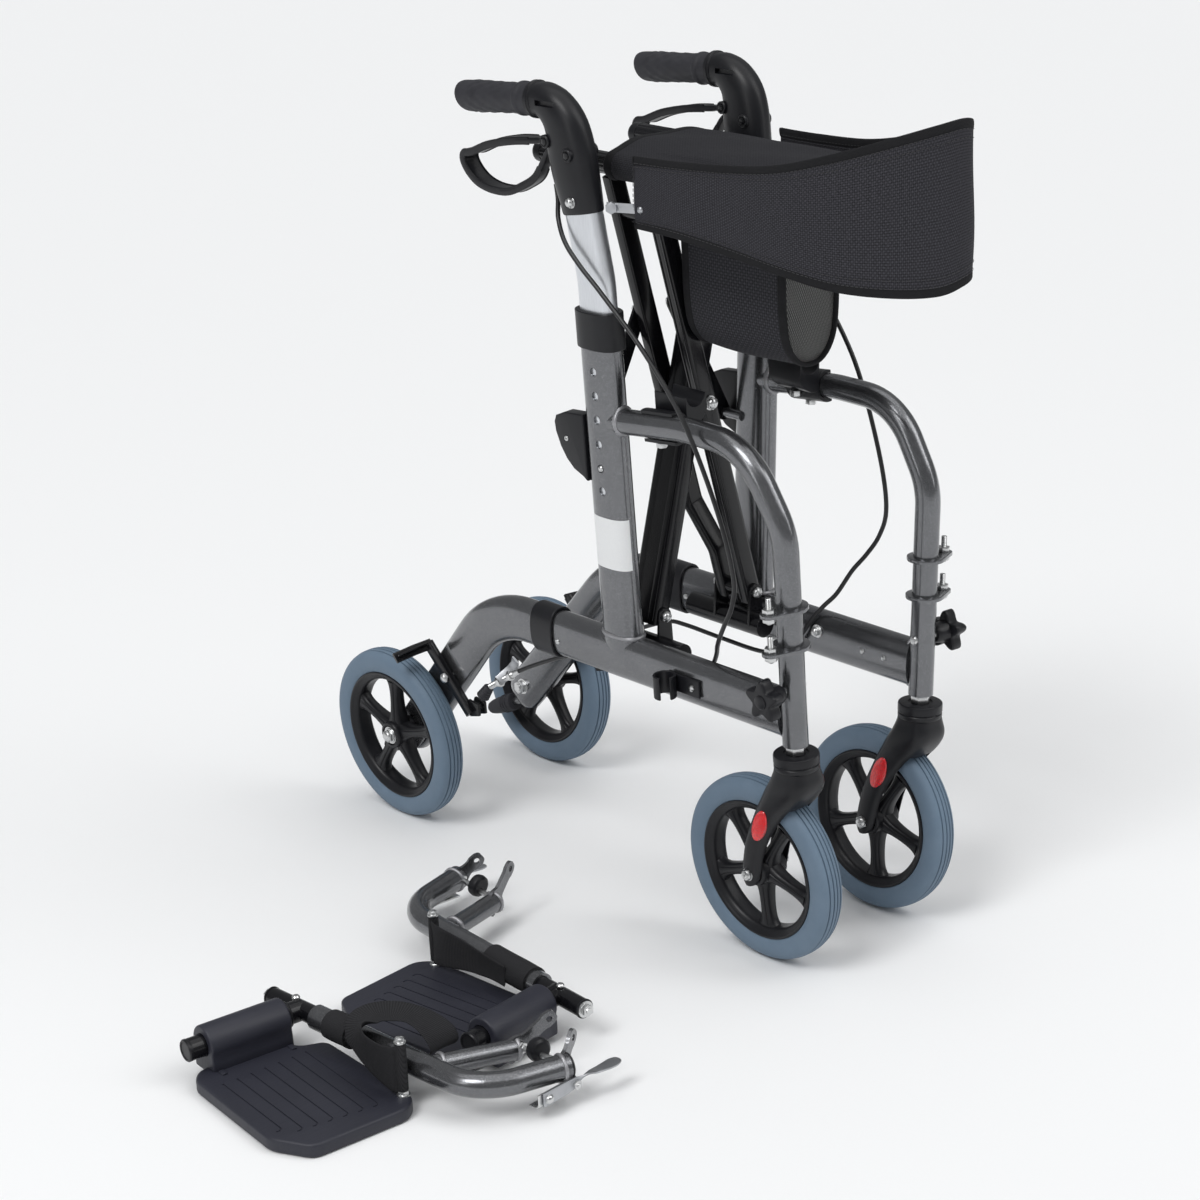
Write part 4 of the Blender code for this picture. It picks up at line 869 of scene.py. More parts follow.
def housingShape():
    rows = smoothPath(housingRows, 5)
    bm = bmesh.new()
    skin(bm, [tiltPlace(*row[:3]) for row in rows], [row[3:] for row in rows], 44, 2.3)
    pocket = bmesh.new()
    outline = [
        (-0.0425, 0.806), (-0.0425, 0.822), (-0.037, 0.829), (0.012, 0.829), (0.012, 0.77), (-0.0262, 0.77),
        (-0.0262, 0.797)]
    plate(pocket, [(-0.0065, y, z) for y, z in outline], (0.013, 0, 0))
    # long mark slot beside the flange, on both faces
    slots = []
    for x in (-1, 1):
        line = [(x * 0.0205, y, z) for y, z in ((-0.0425, 0.852), (-0.03, 0.8522), (-0.018, 0.852))]
        slots.append(shaped(tube, line, sideways, 0.0027, 0.0078, 16, 6))
    bm = carve(bm, [pocket] + slots)
    flange = bmesh.new()
    rows = (
        (-0.0092, 0.8517, 0.016), (-0.0085, 0.8517, 0.0172), (-0.0065, 0.8515, 0.0178),
        (-0.006, 0.8515, 0.0186), (-0.0022, 0.8512, 0.0186), (-0.0015, 0.8512, 0.0178))
    skin(flange, [tiltPlace(y, z, 94.5) for y, z, r in rows], [(r, r) for y, z, r in rows], 44, 2.0)
    # raised seats for the two screws
    boss = [
        (0.0, 0.012), (0.0066, 0.012), (0.0066, 0.0178), (0.0058, 0.0186), (0.0046, 0.0186), (0.0044, 0.0176),
        (0.0, 0.0176)]
    for y, z in housingScrews:
        for x in (-1, 1):
            ring(flange, boss, (0, y, z), (x, 0, 0), 28)
    return joined(bm, flange)


def housingBoltShape():
    bm = bmesh.new()
    for y, z in housingScrews:
        for x in (-1, 1):
            hexNut(bm, (x * 0.017, y, z), (x, 0, 0), 0.004, 0.002)
    return bm


def housingNutShape():
    bm = bmesh.new()
    for x in (-1, 1):
        washer(bm, (x * 0.0138, -0.0585, 0.76), (x, 0, 0), 0.0058, 0.0016)
        domeNut(bm, (x * 0.0152, -0.0585, 0.76), (x, 0, 0), 0.0052, 0.0058)
    return bm


bothSides("clampCollar", clampShape, "mouldedPlastic", "frame", "clamp_collar", bevel=0.001)
bothSides("handleTube", handleTubeShape, "brushedSilver", "handle", "handle_tube", sharp=40)
bothSides("handleHousing", housingShape, "mouldedPlastic", "handle", "handle_housing", sharp=38)
bothSides("housingScrews", housingBoltShape, "glossBlack", "handle", None, slot="black_plastic")
bothSides("housingNuts", housingNutShape, "zincPlate", "handle")

# Hand grip: collar ring, dimpled barrel and a slanted tail
handGrip = {
    "rows": ((0.0, 0.0145, 0.0), (0.0012, 0.0156, 0.0), (0.011, 0.0158, 0.0), (0.014, 0.0166, 0.0),
    (0.017, 0.017, 0.0), (0.0192, 0.0166, 0.0), (0.0202, 0.0151, 0.0), (0.045, 0.015, 0.0),
    (0.07, 0.0154, 0.0), (0.086, 0.0157, 0.0), (0.096, 0.0155, 5.0), (0.103, 0.0155, 10.0),
    (0.1066, 0.0151, 14.0), (0.1078, 0.0142, 15.5), (0.1084, 0.0122, 16.0)), "slope": 4.5, "dimples": 9,
    "padStart": 0.022, "padEnd": 0.094, "padLength": 0.018}


def gripShape():
    g = handGrip
    slope = math.radians(g["slope"])
    way = Vector((0, math.cos(slope), -math.sin(slope)))
    start = Vector((0, -0.0012, 0.8512))
    places = []
    sizes = []
    for along, radius, slant in smoothPath(g["rows"], 6):
        t = math.radians(g["slope"] + slant)
        up = Vector((0, math.sin(t), math.cos(t)))
        places.append(frameAt(start + way * along, up, sideways, up.cross(sideways)))
        sizes.append((radius, radius))
    bm = bmesh.new()
    skin(bm, places, sizes, 64, 2.0)
    # rows of shallow pads pressed into the barrel
    for vert in bm.verts:
        along = (vert.co - start).dot(way)
        out = vert.co - start - way * along
        if g["padStart"] < along < g["padEnd"] and out.length > 0.012:
            angle = math.atan2(out.x, out.z)
            wave = math.sin(angle * g["dimples"])
            wave *= math.sin((along - g["padStart"]) * 2 * math.pi / g["padLength"])
            edge = min(1, (along - g["padStart"]) / 0.006, (g["padEnd"] - along) / 0.006)
            vert.co += out.normalized() * (0.00085 * edge * max(-0.5, min(0.5, wave * 1.8)))
    return bm


bothSides("handGrip", gripShape, "gripRubber", "handle", "hand_grip", sharp=50, slot="grip_rubber")

# Brake lever: a flat strip bent into a closed loop
leverRows = (
    (-0.025, 0.8178, 0.0058), (-0.013, 0.8132, 0.0058), (0.0, 0.811, 0.0075), (0.02, 0.809, 0.009),
    (0.04, 0.806, 0.01), (0.07, 0.799, 0.01), (0.096, 0.789, 0.01), (0.108, 0.7865, 0.01),
    (0.111, 0.779, 0.01), (0.104, 0.768, 0.01), (0.09, 0.7585, 0.01), (0.069, 0.754, 0.0095),
    (0.045, 0.7552, 0.009), (0.022, 0.764, 0.008), (0.004, 0.7745, 0.007), (-0.0075, 0.79, 0.0058),
    (-0.016, 0.8015, 0.0058), (-0.0258, 0.8098, 0.0058))


def leverShape():
    rows = smoothPath(leverRows, 5)
    places = pathPlaces([(0, y, z) for y, z, half in rows], sideways)
    sizes = [(0.0033 if 8 < i < len(rows) - 9 else 0.0028, min(row[2], 0.01)) for i, row in enumerate(rows)]
    bm = bmesh.new()
    skin(bm, places, sizes, 20, 4.5)
    # raised rims along both edges of the strip
    for x in (-1, 1):
        line = [p @ Vector((0, x * (s[1] - 0.0012), 0)) for p, s in zip(places[12:-12], sizes[12:-12])]
        tube(bm, line, sideways, 0.004, 0.0011, 12, 3.0)
    rod(bm, (-0.0059, *leverPivot), (0.0059, *leverPivot), 0.009, 36)
    return bm


bothSides("brakeLever", leverShape, "mouldedPlastic", "lever", "brake_lever", sharp=38)
print("handles done")


# Quadrant block with its rivet
def quadrantShape():
    outline = [
        (-0.0446, 0.541), (-0.017, 0.539), (-0.003, 0.533), (0.0, 0.526), (-0.001, 0.516), (-0.007, 0.501),
        (-0.015, 0.489), (-0.025, 0.48), (-0.039, 0.474), (-0.0446, 0.47)]
    bm = bmesh.new()
    plate(bm, [(-0.0025, y, z) for y, z in outline], (0.0135, 0, 0))
    rounded(bm, [e for e in bm.edges if e.is_manifold and e.calc_face_angle(0) > 1.2], 0.0016)
    return bm


def quadrantRivetShape():
    bm = bmesh.new()
    rows = (
        (0.001, -0.001), (0.0028, -0.001), (0.0028, 0.0004), (0.0022, 0.0009), (0.0012, 0.0009),
        (0.001, 0.0004))
    for x, base in ((-1, 0.0025), (1, 0.011)):
        ring(bm, [(r, base + a) for r, a in rows], (0, -0.0175, 0.511), (x, 0, 0), 24)
    return bm


# Cradle on the arch that takes the seat rail when the walker is open
def cradleShape():
    way = Vector((0, -0.06, 0.0057)).normalized()
    start = Vector((0, -0.128, 0.5446))
    end = start + way * 0.045
    sleeve = shaped(rod, start, end, 0.0168, 44)
    saddle = bmesh.new()
    outline = [
        (-0.0135, 0.545), (-0.0135, 0.5755), (-0.015, 0.5765), (-0.04, 0.5765), (-0.0415, 0.5755),
        (-0.0415, 0.56), (-0.036, 0.551), (-0.024, 0.545)]
    plate(saddle, [(x, start.y, z) for x, z in outline], (0, end.y - start.y, 0))
    groove = shaped(rod, (-0.027, -0.22, 0.577), (-0.027, -0.1, 0.577), 0.0124, 44)
    arches = [shaped(rod, start - way * 0.01, end + way * 0.01, 0.0136, 40) for k in range(2)]
    outerSide = shaped(block, (0.005, -0.2, 0.52), (0.025, -0.1, 0.58))
    return joined(carve(sleeve, [arches[0], outerSide]), carve(saddle, [groove, arches[1]]))


def cradleScrewShape():
    bm = bmesh.new()
    hexNut(bm, (0.0, -0.149, 0.5305), (0, 0, -1), 0.0058, 0.005)
    hexNut(bm, (-0.023, -0.149, 0.544), (0, 0, -1), 0.0062, 0.006)
    return bm


bothSides("quadrantBlock", quadrantShape, "mouldedPlastic", "frame", "quadrant_block")
bothSides("quadrantRivet", quadrantRivetShape, "zincPlate", "frame")
bothSides("railCradle", cradleShape, "mouldedPlastic", "frame", "rail_cradle", bevel=0.001)
bothSides("cradleScrews", cradleScrewShape, "zincPlate", "frame")
print("frame fittings done")

# Wheels: grooved solid tyres on five-spoke rims
tyreHalf = (
    (0.0757, 0.0127), (0.0775, 0.0139), (0.081, 0.015), (0.085, 0.0155), (0.0895, 0.0153), (0.093, 0.0145),
    (0.0958, 0.0129), (0.0976, 0.0108), (0.0986, 0.009), (0.0989, 0.0082), (0.0976, 0.0078), (0.0976, 0.0069),
    (0.0992, 0.0065), (0.0998, 0.0045), (0.0999, 0.0032), (0.0986, 0.0028), (0.0986, 0.0019), (0.1, 0.0015))
rimHalf = (
    (0.0754, 0.0124), (0.0752, 0.0134), (0.0742, 0.0139), (0.0728, 0.0137), (0.0716, 0.0124),
    (0.0696, 0.0112), (0.0672, 0.0098), (0.0658, 0.0078), (0.0654, 0.004))
spokeRows = (
    (0.012, 0.0118, 0.0098), (0.018, 0.0094, 0.0092), (0.026, 0.0072, 0.0082), (0.038, 0.0063, 0.0074),
    (0.05, 0.0067, 0.007), (0.058, 0.0082, 0.007), (0.064, 0.0118, 0.0073), (0.0675, 0.0165, 0.0076))


def tyreShape(ox, y):
    return shaped(ring, mirrored(tyreHalf), (ox, y, wheelRadius), sideways, 128)


def rimShape(ox, y, hubHalf, turn):
    bm = bmesh.new()
    centre = Vector((ox, y, wheelRadius))
    ring(bm, mirrored(rimHalf), centre, sideways, 96)
    hub = [
        (0.0046, 0.92), (0.0098, 0.92), (0.0102, 0.86), (0.0116, 0.86), (0.012, 1.0), (0.0142, 1.0),
        (0.0152, 0.95), (0.016, 0.8), (0.0165, 0.3)]
    ring(bm, mirrored([(r, a * hubHalf) for r, a in hub]), centre, sideways, 56)
    for k in range(5):
        t = turn + 2 * math.pi * k / 5
        out = Vector((0, math.cos(t), math.sin(t)))
        across = Vector((0, -math.sin(t), math.cos(t)))
        places = []
        sizes = []
        for along, wide, thick in smoothPath(spokeRows, 3):
            places.append(frameAt(centre + out * along, across, sideways, out))
            sizes.append((wide, thick))
        skin(bm, places, sizes, 20, 3.2)
        # raised rib down the middle of the spoke
        for x in (-1, 1):
            ribs = [
                Matrix.Translation(sideways * x * size[1] * 0.98) @ spot for spot, size in zip(places, sizes)]
            skin(bm, ribs[2:-3], [(size[0] * 0.42, 0.0013) for size in sizes[2:-3]], 12, 2.6)
    return bm


def bearingShape(ox, y, hubHalf):
    bm = bmesh.new()
    rows = (
        (0.0048, 0.84), (0.0048, 0.97), (0.0062, 0.97), (0.0064, 0.92), (0.0086, 0.92), (0.0088, 0.97),
        (0.0101, 0.97), (0.0101, 0.84))
    for x in (-1, 1):
        ring(bm, [(r, hubHalf * share) for r, share in rows], (ox, y, wheelRadius), (x, 0, 0), 40)
    return bm


frontAxleY = -0.2615
for end, ox, y, hubHalf, turn in (("rear", 0.0275, rearLeg["axleY"], 0.015, 0.35),
        ("front", 0, frontAxleY, 0.0172, 0.9)):
    wheel = end + "_wheel"
    bothSides(end + "Tyre", lambda: tyreShape(ox, y), "tyreRubber", wheel, end + "_tyre", sharp=50)
    bothSides(
        end + "Rim", lambda: rimShape(ox, y, hubHalf, turn), "mouldedPlastic", wheel, end + "_rim", sharp=50)
    bothSides(end + "Bearing", lambda: bearingShape(ox, y, hubHalf), "zincPlate", wheel)
print("wheels done")

# Caster fork: cap under the post, arched crown and two legs
forkRows = (
    (0.2272, -0.315, 0.02, 0.02), (0.222, -0.315, 0.021, 0.0212), (0.212, -0.3138, 0.0238, 0.024),
    (0.202, -0.3095, 0.0252, 0.0258), (0.19, -0.3022, 0.024, 0.0264), (0.178, -0.2935, 0.0214, 0.0264),
    (0.162, -0.2835, 0.0186, 0.0264), (0.145, -0.2745, 0.0168, 0.0262), (0.125, -0.267, 0.0152, 0.0258),
    (0.1, -0.2615, 0.014, 0.0254), (0.091, -0.2605, 0.0112, 0.025), (0.0865, -0.26, 0.0062, 0.0245))


def forkShape():
    rows = smoothPath(forkRows, 5)
    places = [frameAt((0, y, z), forward, sideways, upward) for z, y, half, wide in rows]
    blade = shaped(skin, places, [row[2:] for row in rows], 48, 3.2)
    room = shaped(rod, (-0.0185, frontAxleY, wheelRadius), (0.0185, frontAxleY, wheelRadius), 0.1045, 96)
    cap = (
        (0.0, 0.227), (0.0196, 0.227), (0.0224, 0.2276), (0.023, 0.2286), (0.023, 0.2318), (0.0224, 0.2324),
        (0.0222, 0.2332), (0.0226, 0.2338), (0.0232, 0.2344), (0.0232, 0.2412), (0.0229, 0.2424),
        (0.0221, 0.243), (0.013, 0.2432), (0.0124, 0.242), (0.0, 0.242))
    return joined(carve(blade, [room]), shaped(turned, cap, (0, postY, 0), upward, 56))


def forkBoltShape():
    bm = bmesh.new()
    axle = (frontAxleY, wheelRadius)
    head = [
        (0.0, 0.025), (0.006, 0.025), (0.006, 0.0272), (0.005, 0.0288), (0.0026, 0.0292), (0.0024, 0.0276),
        (0.0, 0.0274)]
    rod(bm, (-0.0275, *axle), (0.0275, *axle), 0.0038)
    washer(bm, (0.0242, *axle), sideways, 0.0068, 0.001)
    turned(bm, head, (0, *axle), sideways, 28)
    domeNut(bm, (-0.0244, *axle), (-1, 0, 0), 0.007, 0.006)
    hexNut(bm, (0, postY, 0.2425), upward, 0.0105, 0.0082)
    rod(bm, (0, postY, 0.24), (0, postY, 0.29), 0.0049)
    return bm


def reflectorShape():
    # oval reflectors on both faces of the fork
    bm = bmesh.new()
    for x in (-1, 1):
        along = Vector((0, -0.0085, 0.02)).normalized()
        out = Vector((x, 0, 0))
        spot = frameAt((x * 0.0257, -0.2842, 0.1625), along, out.cross(along), out)
        places = [spot @ Matrix.Translation((0, 0, d)) for d in (-0.002, 0.001, 0.0018, 0.0021)]
        skin(bm, places, [(0.0195, 0.0088), (0.0195, 0.0088), (0.0188, 0.0081), (0.0168, 0.0066)], 44, 2.0)
    return bm


bothSides("casterFork", forkShape, "mouldedPlastic", "caster", "caster_fork", bevel=0.0009, sharp=40)
bothSides("forkBolts", forkBoltShape, "zincPlate", "caster")
bothSides("forkReflector", reflectorShape, "redPrism", "caster")
print("casters done")

# Star knob with its stud
starKnob = {"lobes": 5, "radius": 0.022, "near": 0.031, "far": 0.045, "z": 0.312}


def knobShape():
    k = starKnob
    outline = []
    for i in range(60):
        t = 2 * math.pi * i / 60
        r = k["radius"] * (0.79 + 0.2 * math.cos(k["lobes"] * t) + 0.01 * math.cos(2 * k["lobes"] * t))
        outline.append((k["near"], postY + r * math.cos(t + 0.3), k["z"] + r * math.sin(t + 0.3)))
    bm = bmesh.new()
    plate(bm, outline, (k["far"] - k["near"], 0, 0))
    rounded(bm, [e for e in bm.edges if e.is_manifold and e.calc_face_angle(0) > 1.2], 0.0022)
    neck = [
        (0.0, 0.0162), (0.0078, 0.0162), (0.0088, 0.0175), (0.0098, 0.021), (0.0112, 0.029), (0.012, 0.033),
        (0.0, 0.033)]
    crown = [(0.0, 0.044), (0.0074, 0.044), (0.0072, 0.0458), (0.006, 0.0466), (0.0, 0.0468)]
    for profile in (neck, crown):
        turned(bm, profile, (0, postY, k["z"]), sideways, 32)
    return bm


def knobStudShape():
    return shaped(thread, (0.0048, postY, starKnob["z"]), (0.019, postY, starKnob["z"]), 0.0039)


def railBoltShape():
    # a pair of bolts on the inner face of the rail and the end of one through the post
    bm = bmesh.new()
    for y in (-0.105, -0.18):
        washer(bm, (-0.014, y, 0.289), (-1, 0, 0), 0.007, 0.001)
        domeNut(bm, (-0.0149, y, 0.289), (-1, 0, 0), 0.0056, 0.007)
    tip = [(0.0, 0.012), (0.0046, 0.012), (0.0046, 0.014), (0.0036, 0.0153), (0.0, 0.0156)]
    turned(bm, tip, (0, postY, starKnob["z"]), (-1, 0, 0), 24)
    return bm


bothSides("starKnob", knobShape, "mouldedPlastic", "knob", "star_knob")
bothSides("knobStud", knobStudShape, "zincPlate", "knob")
bothSides("railBolts", railBoltShape, "zincPlate", "frame")


# Brake arm with the tab that presses on the rear tyre
def brakeArmShape():
    bm = bmesh.new()
    rows = ((0.183, 0.15), (0.185, 0.1521), (0.217, 0.186), (0.2462, 0.2171), (0.248, 0.219))
    tube(bm, [(0.014, y, z) for y, z in rows], sideways, 0.006, 0.004, 20, 6)
    tabLine = [(0.01, 0.2468, 0.2168), (0.018, 0.249, 0.2158), (0.03, 0.253, 0.214), (0.055, 0.2565, 0.211)]
    tube(bm, tabLine, (0, 0.66, 0.75), 0.0022, 0.0062, 16, 5)
    lip = [(0.013, 0.244, 0.22), (0.03, 0.248, 0.2178), (0.054, 0.2515, 0.215)]
    tube(bm, lip, (0, 0.66, 0.75), 0.0034, 0.0011, 12, 4)
    lug = bmesh.new()
    outline = [(0.17, 0.164), (0.17, 0.15), (0.186, 0.1455), (0.192, 0.156), (0.187, 0.166)]
    for x in (0.001, 0.01):
        plate(lug, [(x, y, z) for y, z in outline], (0.003, 0, 0))
    return joined(bm, lug)


def adjusterShape():
    # threaded barrel, lock nut and spring eye at the cable's end
    bm = bmesh.new()
    start = Vector((-0.009, 0.129, 0.2052))
    end = Vector((0.0008, 0.161, 0.1845))
    way = (end - start).normalized()
    thread(bm, start, end, 0.0036)
    hexNut(bm, start + way * 0.004, way, 0.006, 0.0045)
    hexNut(bm, start + way * 0.021, way, 0.0066, 0.005)
    turned(bm, [(0.0, -0.008), (0.003, -0.008), (0.0034, 0.0), (0.0, 0.0)], start, way, 20)
    hexNut(bm, (0.007, 0.179, 0.157), sideways, 0.0054, 0.005)
    return bm


def bootShape():
    start = Vector((0.0012, 0.162, 0.1838))
    way = (Vector((0.005, 0.1745, 0.1665)) - start).normalized()
    profile = [(0.0, -0.0006)]
    for k in range(5):
        profile += [(0.0044 + 0.0005 * k, 0.0034 * k), (0.006 + 0.0004 * k, 0.0034 * k + 0.0017)]
    profile += [(0.0046, 0.0172), (0.0, 0.0176)]
    return shaped(turned, profile, start, way, 28)


def cableHolderShape():
    # a bent strip on the leg that holds the barrel
    line = [
        (-0.0135, 0.13, 0.22), (-0.015, 0.133, 0.213), (-0.012, 0.138, 0.206), (-0.005, 0.142, 0.2),
        (0.001, 0.144, 0.196)]
    return shaped(tube, line, (0, 0.6, 0.8), 0.0012, 0.006, 12, 5)


bothSides("brakeArm", brakeArmShape, "glossBlack", "brake_arm", "brake_arm", sharp=38, bevel=0.0005)
bothSides("cableAdjuster", adjusterShape, "zincPlate", "frame")
bothSides("cableBoot", bootShape, "gripRubber", "brake_arm")
bothSides("cableHolder", cableHolderShape, "stampedSteel", "frame")
print("brakes done")

# Brake cables run down the outside, back under the rail and on to the brake arm
cableLine = (
    (0.0, -0.0205, 0.77), (0.002, -0.024, 0.756), (0.009, -0.0305, 0.738), (0.0175, -0.048, 0.719),
    (0.0205, -0.072, 0.699), (0.0205, -0.097, 0.679), (0.0205, -0.15, 0.633), (0.0205, -0.195, 0.582),
    (0.0205, -0.224, 0.532), (0.0205, -0.25, 0.47), (0.0196, -0.261, 0.418), (0.0185, -0.255, 0.389),
    (0.016, -0.241, 0.366), (0.01, -0.226, 0.346), (0.001, -0.212, 0.33), (-0.0085, -0.2, 0.316),
    (-0.016, -0.188, 0.302), (-0.0203, -0.1745, 0.285), (-0.021, -0.158, 0.268), (-0.0205, -0.138, 0.256),
    (-0.02, -0.1, 0.248), (-0.02, -0.04, 0.248), (-0.02, 0.015, 0.249), (-0.019, 0.045, 0.245),
    (-0.015, 0.1, 0.221), (-0.006, 0.142, 0.198), (0.002, 0.164, 0.182), (0.005, 0.172, 0.171),
    (0.005, 0.1745, 0.1665))
cableReach = {1: 0.022, -1: 0.0}  # the left cable swings wider
cableThick = 0.0048


def pathLength(points):
    return sum((Vector(b) - Vector(a)).length for a, b in zip(points, points[1:]))


for word, s in sides:
    line = []
    for i, (ox, y, z) in enumerate(cableLine):
        back = cableReach[s] * max(0.0, math.sin(math.pi * (i - 5) / 14)) if 5 < i < 19 else 0.0
        line.append((ox, y + back, z + back * 0.45 * (0.336 < z < 0.42)))
    lean = sideMatrix(s)
    line = [lean @ Vector(p) for p in smoothPath(line, 6)]
    cable = piece(
        word + "BrakeCable", shaped(roundBar, line, cableThick / 2, 14), "cableSkin", None,
        [word + "_brake_cable"], sharp=60)
    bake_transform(cable)
    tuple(line[0])
    pathLength(line)
print("brake cables done")

# Cross frames: one wide bar, and a pair of bars that pass in front of it and behind it
cross = {
    "y": -0.071, "pivotX": 0.058, "pivotZ": 0.322, "angle": 14.86, "length": 0.479, "halfLength": 0.2262,
    "linkAt": 0.3176, "barHalf": 0.01, "foot": -0.011, "frontY": -0.029, "rearY": -0.0425, "footY": -0.066}
railRadius = 0.011
fold = math.radians(cross["angle"])
wayA = Vector((math.sin(fold), 0, math.cos(fold)))
wayB = Vector((-wayA.x, 0, wayA.z))
pivotA = Vector((-cross["pivotX"], cross["y"], cross["pivotZ"]))
pivotB = Vector((cross["pivotX"], cross["y"], cross["pivotZ"]))
middle = pivotA + wayA * cross["halfLength"]
linkA = pivotA + wayA * cross["linkAt"]
linkB = pivotB + wayB * cross["linkAt"]
topB = pivotB + wayB * (cross["length"] - 0.05)
barEnd = cross["length"] - railRadius - 0.0003
moved = Matrix.Translation(shift)


def at(point, y):
    return (point.x, y, point.z)


def flutedBar(bm, start, end, halfY):
    # a flat bar with low ridges along the edges of its broad faces
    halfX = cross["barHalf"]
    along = (end - start).normalized()
    across = Vector((along.z, 0, -along.x))
    tube(bm, [start, start + along * 0.001, end - along * 0.001, end], forward, halfX, halfY, 28, 7)
    for x in (-1, 1):
        for y in (-1, 1):
            out = forward * (y * (halfY * 0.62)) + across * (x * halfX)
            tube(
                bm, [start + along * 0.004 + out, end - along * 0.004 + out], forward, 0.0006, halfY * 0.2,
                12, 4)


def crossAShape():
    bm = bmesh.new()
    flutedBar(bm, pivotA + wayA * cross["foot"], pivotA + wayA * barEnd, 0.02)
    rod(bm, at(linkA, -0.061), at(linkA, -0.0348), 0.0055, 24)
    return bm


def crossBShape():
    bm = bmesh.new()
    front = forward * cross["frontY"]
    flutedBar(bm, pivotB + wayB * cross["foot"] + front, pivotB + wayB * barEnd + front, 0.007)
    bends = (
        (cross["foot"], cross["footY"]), (0.044, cross["footY"]), (0.096, cross["rearY"]),
        (barEnd, cross["rearY"]))
    rear = [at(pivotB + wayB * d, y) for d, y in bends]
    tube(bm, roundedPath(rear, 0.02, 6), Vector((wayB.z, 0, -wayB.x)), 0.0065, cross["barHalf"], 28, 7)
    rod(bm, pivotB + front, at(pivotB, cross["footY"]), 0.0085, 28)
    rod(bm, topB + front, at(topB, cross["rearY"]), 0.007, 28)
    return bm


def crossBoltShape():
    bm = bmesh.new()
    rod(bm, middle - forward * 0.04, middle + forward * 0.0385, 0.0038, 20)
    washer(bm, at(middle, -0.108), (0, -1, 0), 0.0075, 0.0012)
    domeNut(bm, at(middle, -0.1092), (0, -1, 0), 0.0068, 0.0075)
    hexNut(bm, at(middle, -0.0358), forward, 0.0068, 0.004)
    return bm


def crossBBoltShape():
    return shaped(domeNut, at(topB, -0.1072), (0, -1, 0), 0.0058, 0.0066)


piece("crossFrameA", crossAShape(), "glossBlack", "cross_a", ["cross_frame_a"], moved)
piece("crossFrameB", crossBShape(), "glossBlack", "cross_b", ["cross_frame_b"], moved)
piece("crossBolts", crossBoltShape(), "zincPlate", "cross_a", (), moved)
piece("crossBBolts", crossBBoltShape(), "zincPlate", "cross_b", (), moved)

# Seat rails: fluted tubes with capped ends
railTop = pivotA + wayA * cross["length"]
seatRail = {"front": -0.287, "back": 0.064, "flutes": 12}


def seatRailShape(x):
    bm = bmesh.new()
    rod(bm, (x, seatRail["front"] + 0.01, railTop.z), (x, seatRail["back"] - 0.01, railTop.z), railRadius, 96)
    for vert in bm.verts:
        out = Vector((vert.co.x - x, 0, vert.co.z - railTop.z))
        angle = math.atan2(out.z, out.x)
        vert.co -= out.normalized() * (0.0007 * max(0.0, math.cos(angle * seatRail["flutes"])))
    return bm


def railCapShape(x):
    bm = bmesh.new()
    cap = (
        (0.0, 0.0), (0.007, 0.0), (0.0098, 0.0008), (0.011, 0.0026), (0.0112, 0.005), (0.0112, 0.0115),
        (0.0106, 0.012), (0.0, 0.012))
    for y, way in ((seatRail["front"], 1), (seatRail["back"], -1)):
        turned(bm, cap, (x, y, railTop.z), (0, way, 0), 40)
    return bm


for word, x, body in (("Left", railTop.x, "cross_a"), ("Right", -railTop.x, "cross_b")):
    piece(
        "seatRail" + word, seatRailShape(x), "glossBlack", body, ["seat_rail_" + word.lower()], moved,
        sharp=60)
    piece("seatRail" + word + "Caps", railCapShape(x), "mouldedPlastic", body, (), moved)


# Lower pivot brackets beside the rails: the gap between the ears takes cross frame A or B
bracketGaps = {-1: (-0.0945, -0.0475), 1: (-0.1105, -0.0559)}
bracket = {"x": 0.06, "z": 0.2856, "earHalf": 0.0085, "earThick": 0.003}


def bracketShape(s):
    x = s * bracket["x"]
    low = bracket["z"]
    bm = bmesh.new()
    rod(bm, (x, -0.122, low), (x, -0.012, low), 0.0125, 40)
    px = s * cross["pivotX"]
    front, back = bracketGaps[s]
    crown = [(px + a, cross["pivotZ"] + b) for a, b in arcPoints(bracket["earHalf"], range(0, 181, 12))]
    for y in (front, back - bracket["earThick"]):
        outline = [(a, y, b) for a, b in crown + [(px - 0.011, low), (px + 0.011, low)]]
        bm = joined(bm, shaped(plate, outline, (0, bracket["earThick"], 0)))
    for y in (-0.105, -0.03):
        rod(bm, (x, y, low), (s * 0.0785, y, low - 0.001), 0.006, 24)
    return bm


def bracketBoltShape(s):
    front, back = bracketGaps[s]
    bm = bmesh.new()
    px = s * cross["pivotX"]
    rod(bm, (px, front - 0.002, cross["pivotZ"]), (px, back + 0.002, cross["pivotZ"]), 0.0039)
    domeNut(bm, (px, front, cross["pivotZ"]), (0, -1, 0), 0.0062, 0.0066)
    hexNut(bm, (px, back, cross["pivotZ"]), forward, 0.0062, 0.004)
    return bm


# Stabiliser links from the uprights to the cross frames
def linkShape(s):
    bm = bmesh.new()
    for x, z in ((s * linkPin["x"], linkPin["z"]), (-s * linkB.x, linkB.z)):
        rod(bm, (x, -0.0345, z), (x, -0.0315, z), 0.009, 28)
    return wrapped(bm)


def linkBoltShape(s):
    x = -s * linkB.x
    bm = bmesh.new()
    washer(bm, (x, -0.0313, linkB.z), forward, 0.007, 0.001)
    domeNut(bm, (x, -0.0303, linkB.z), forward, 0.006, 0.0068)
    return bm


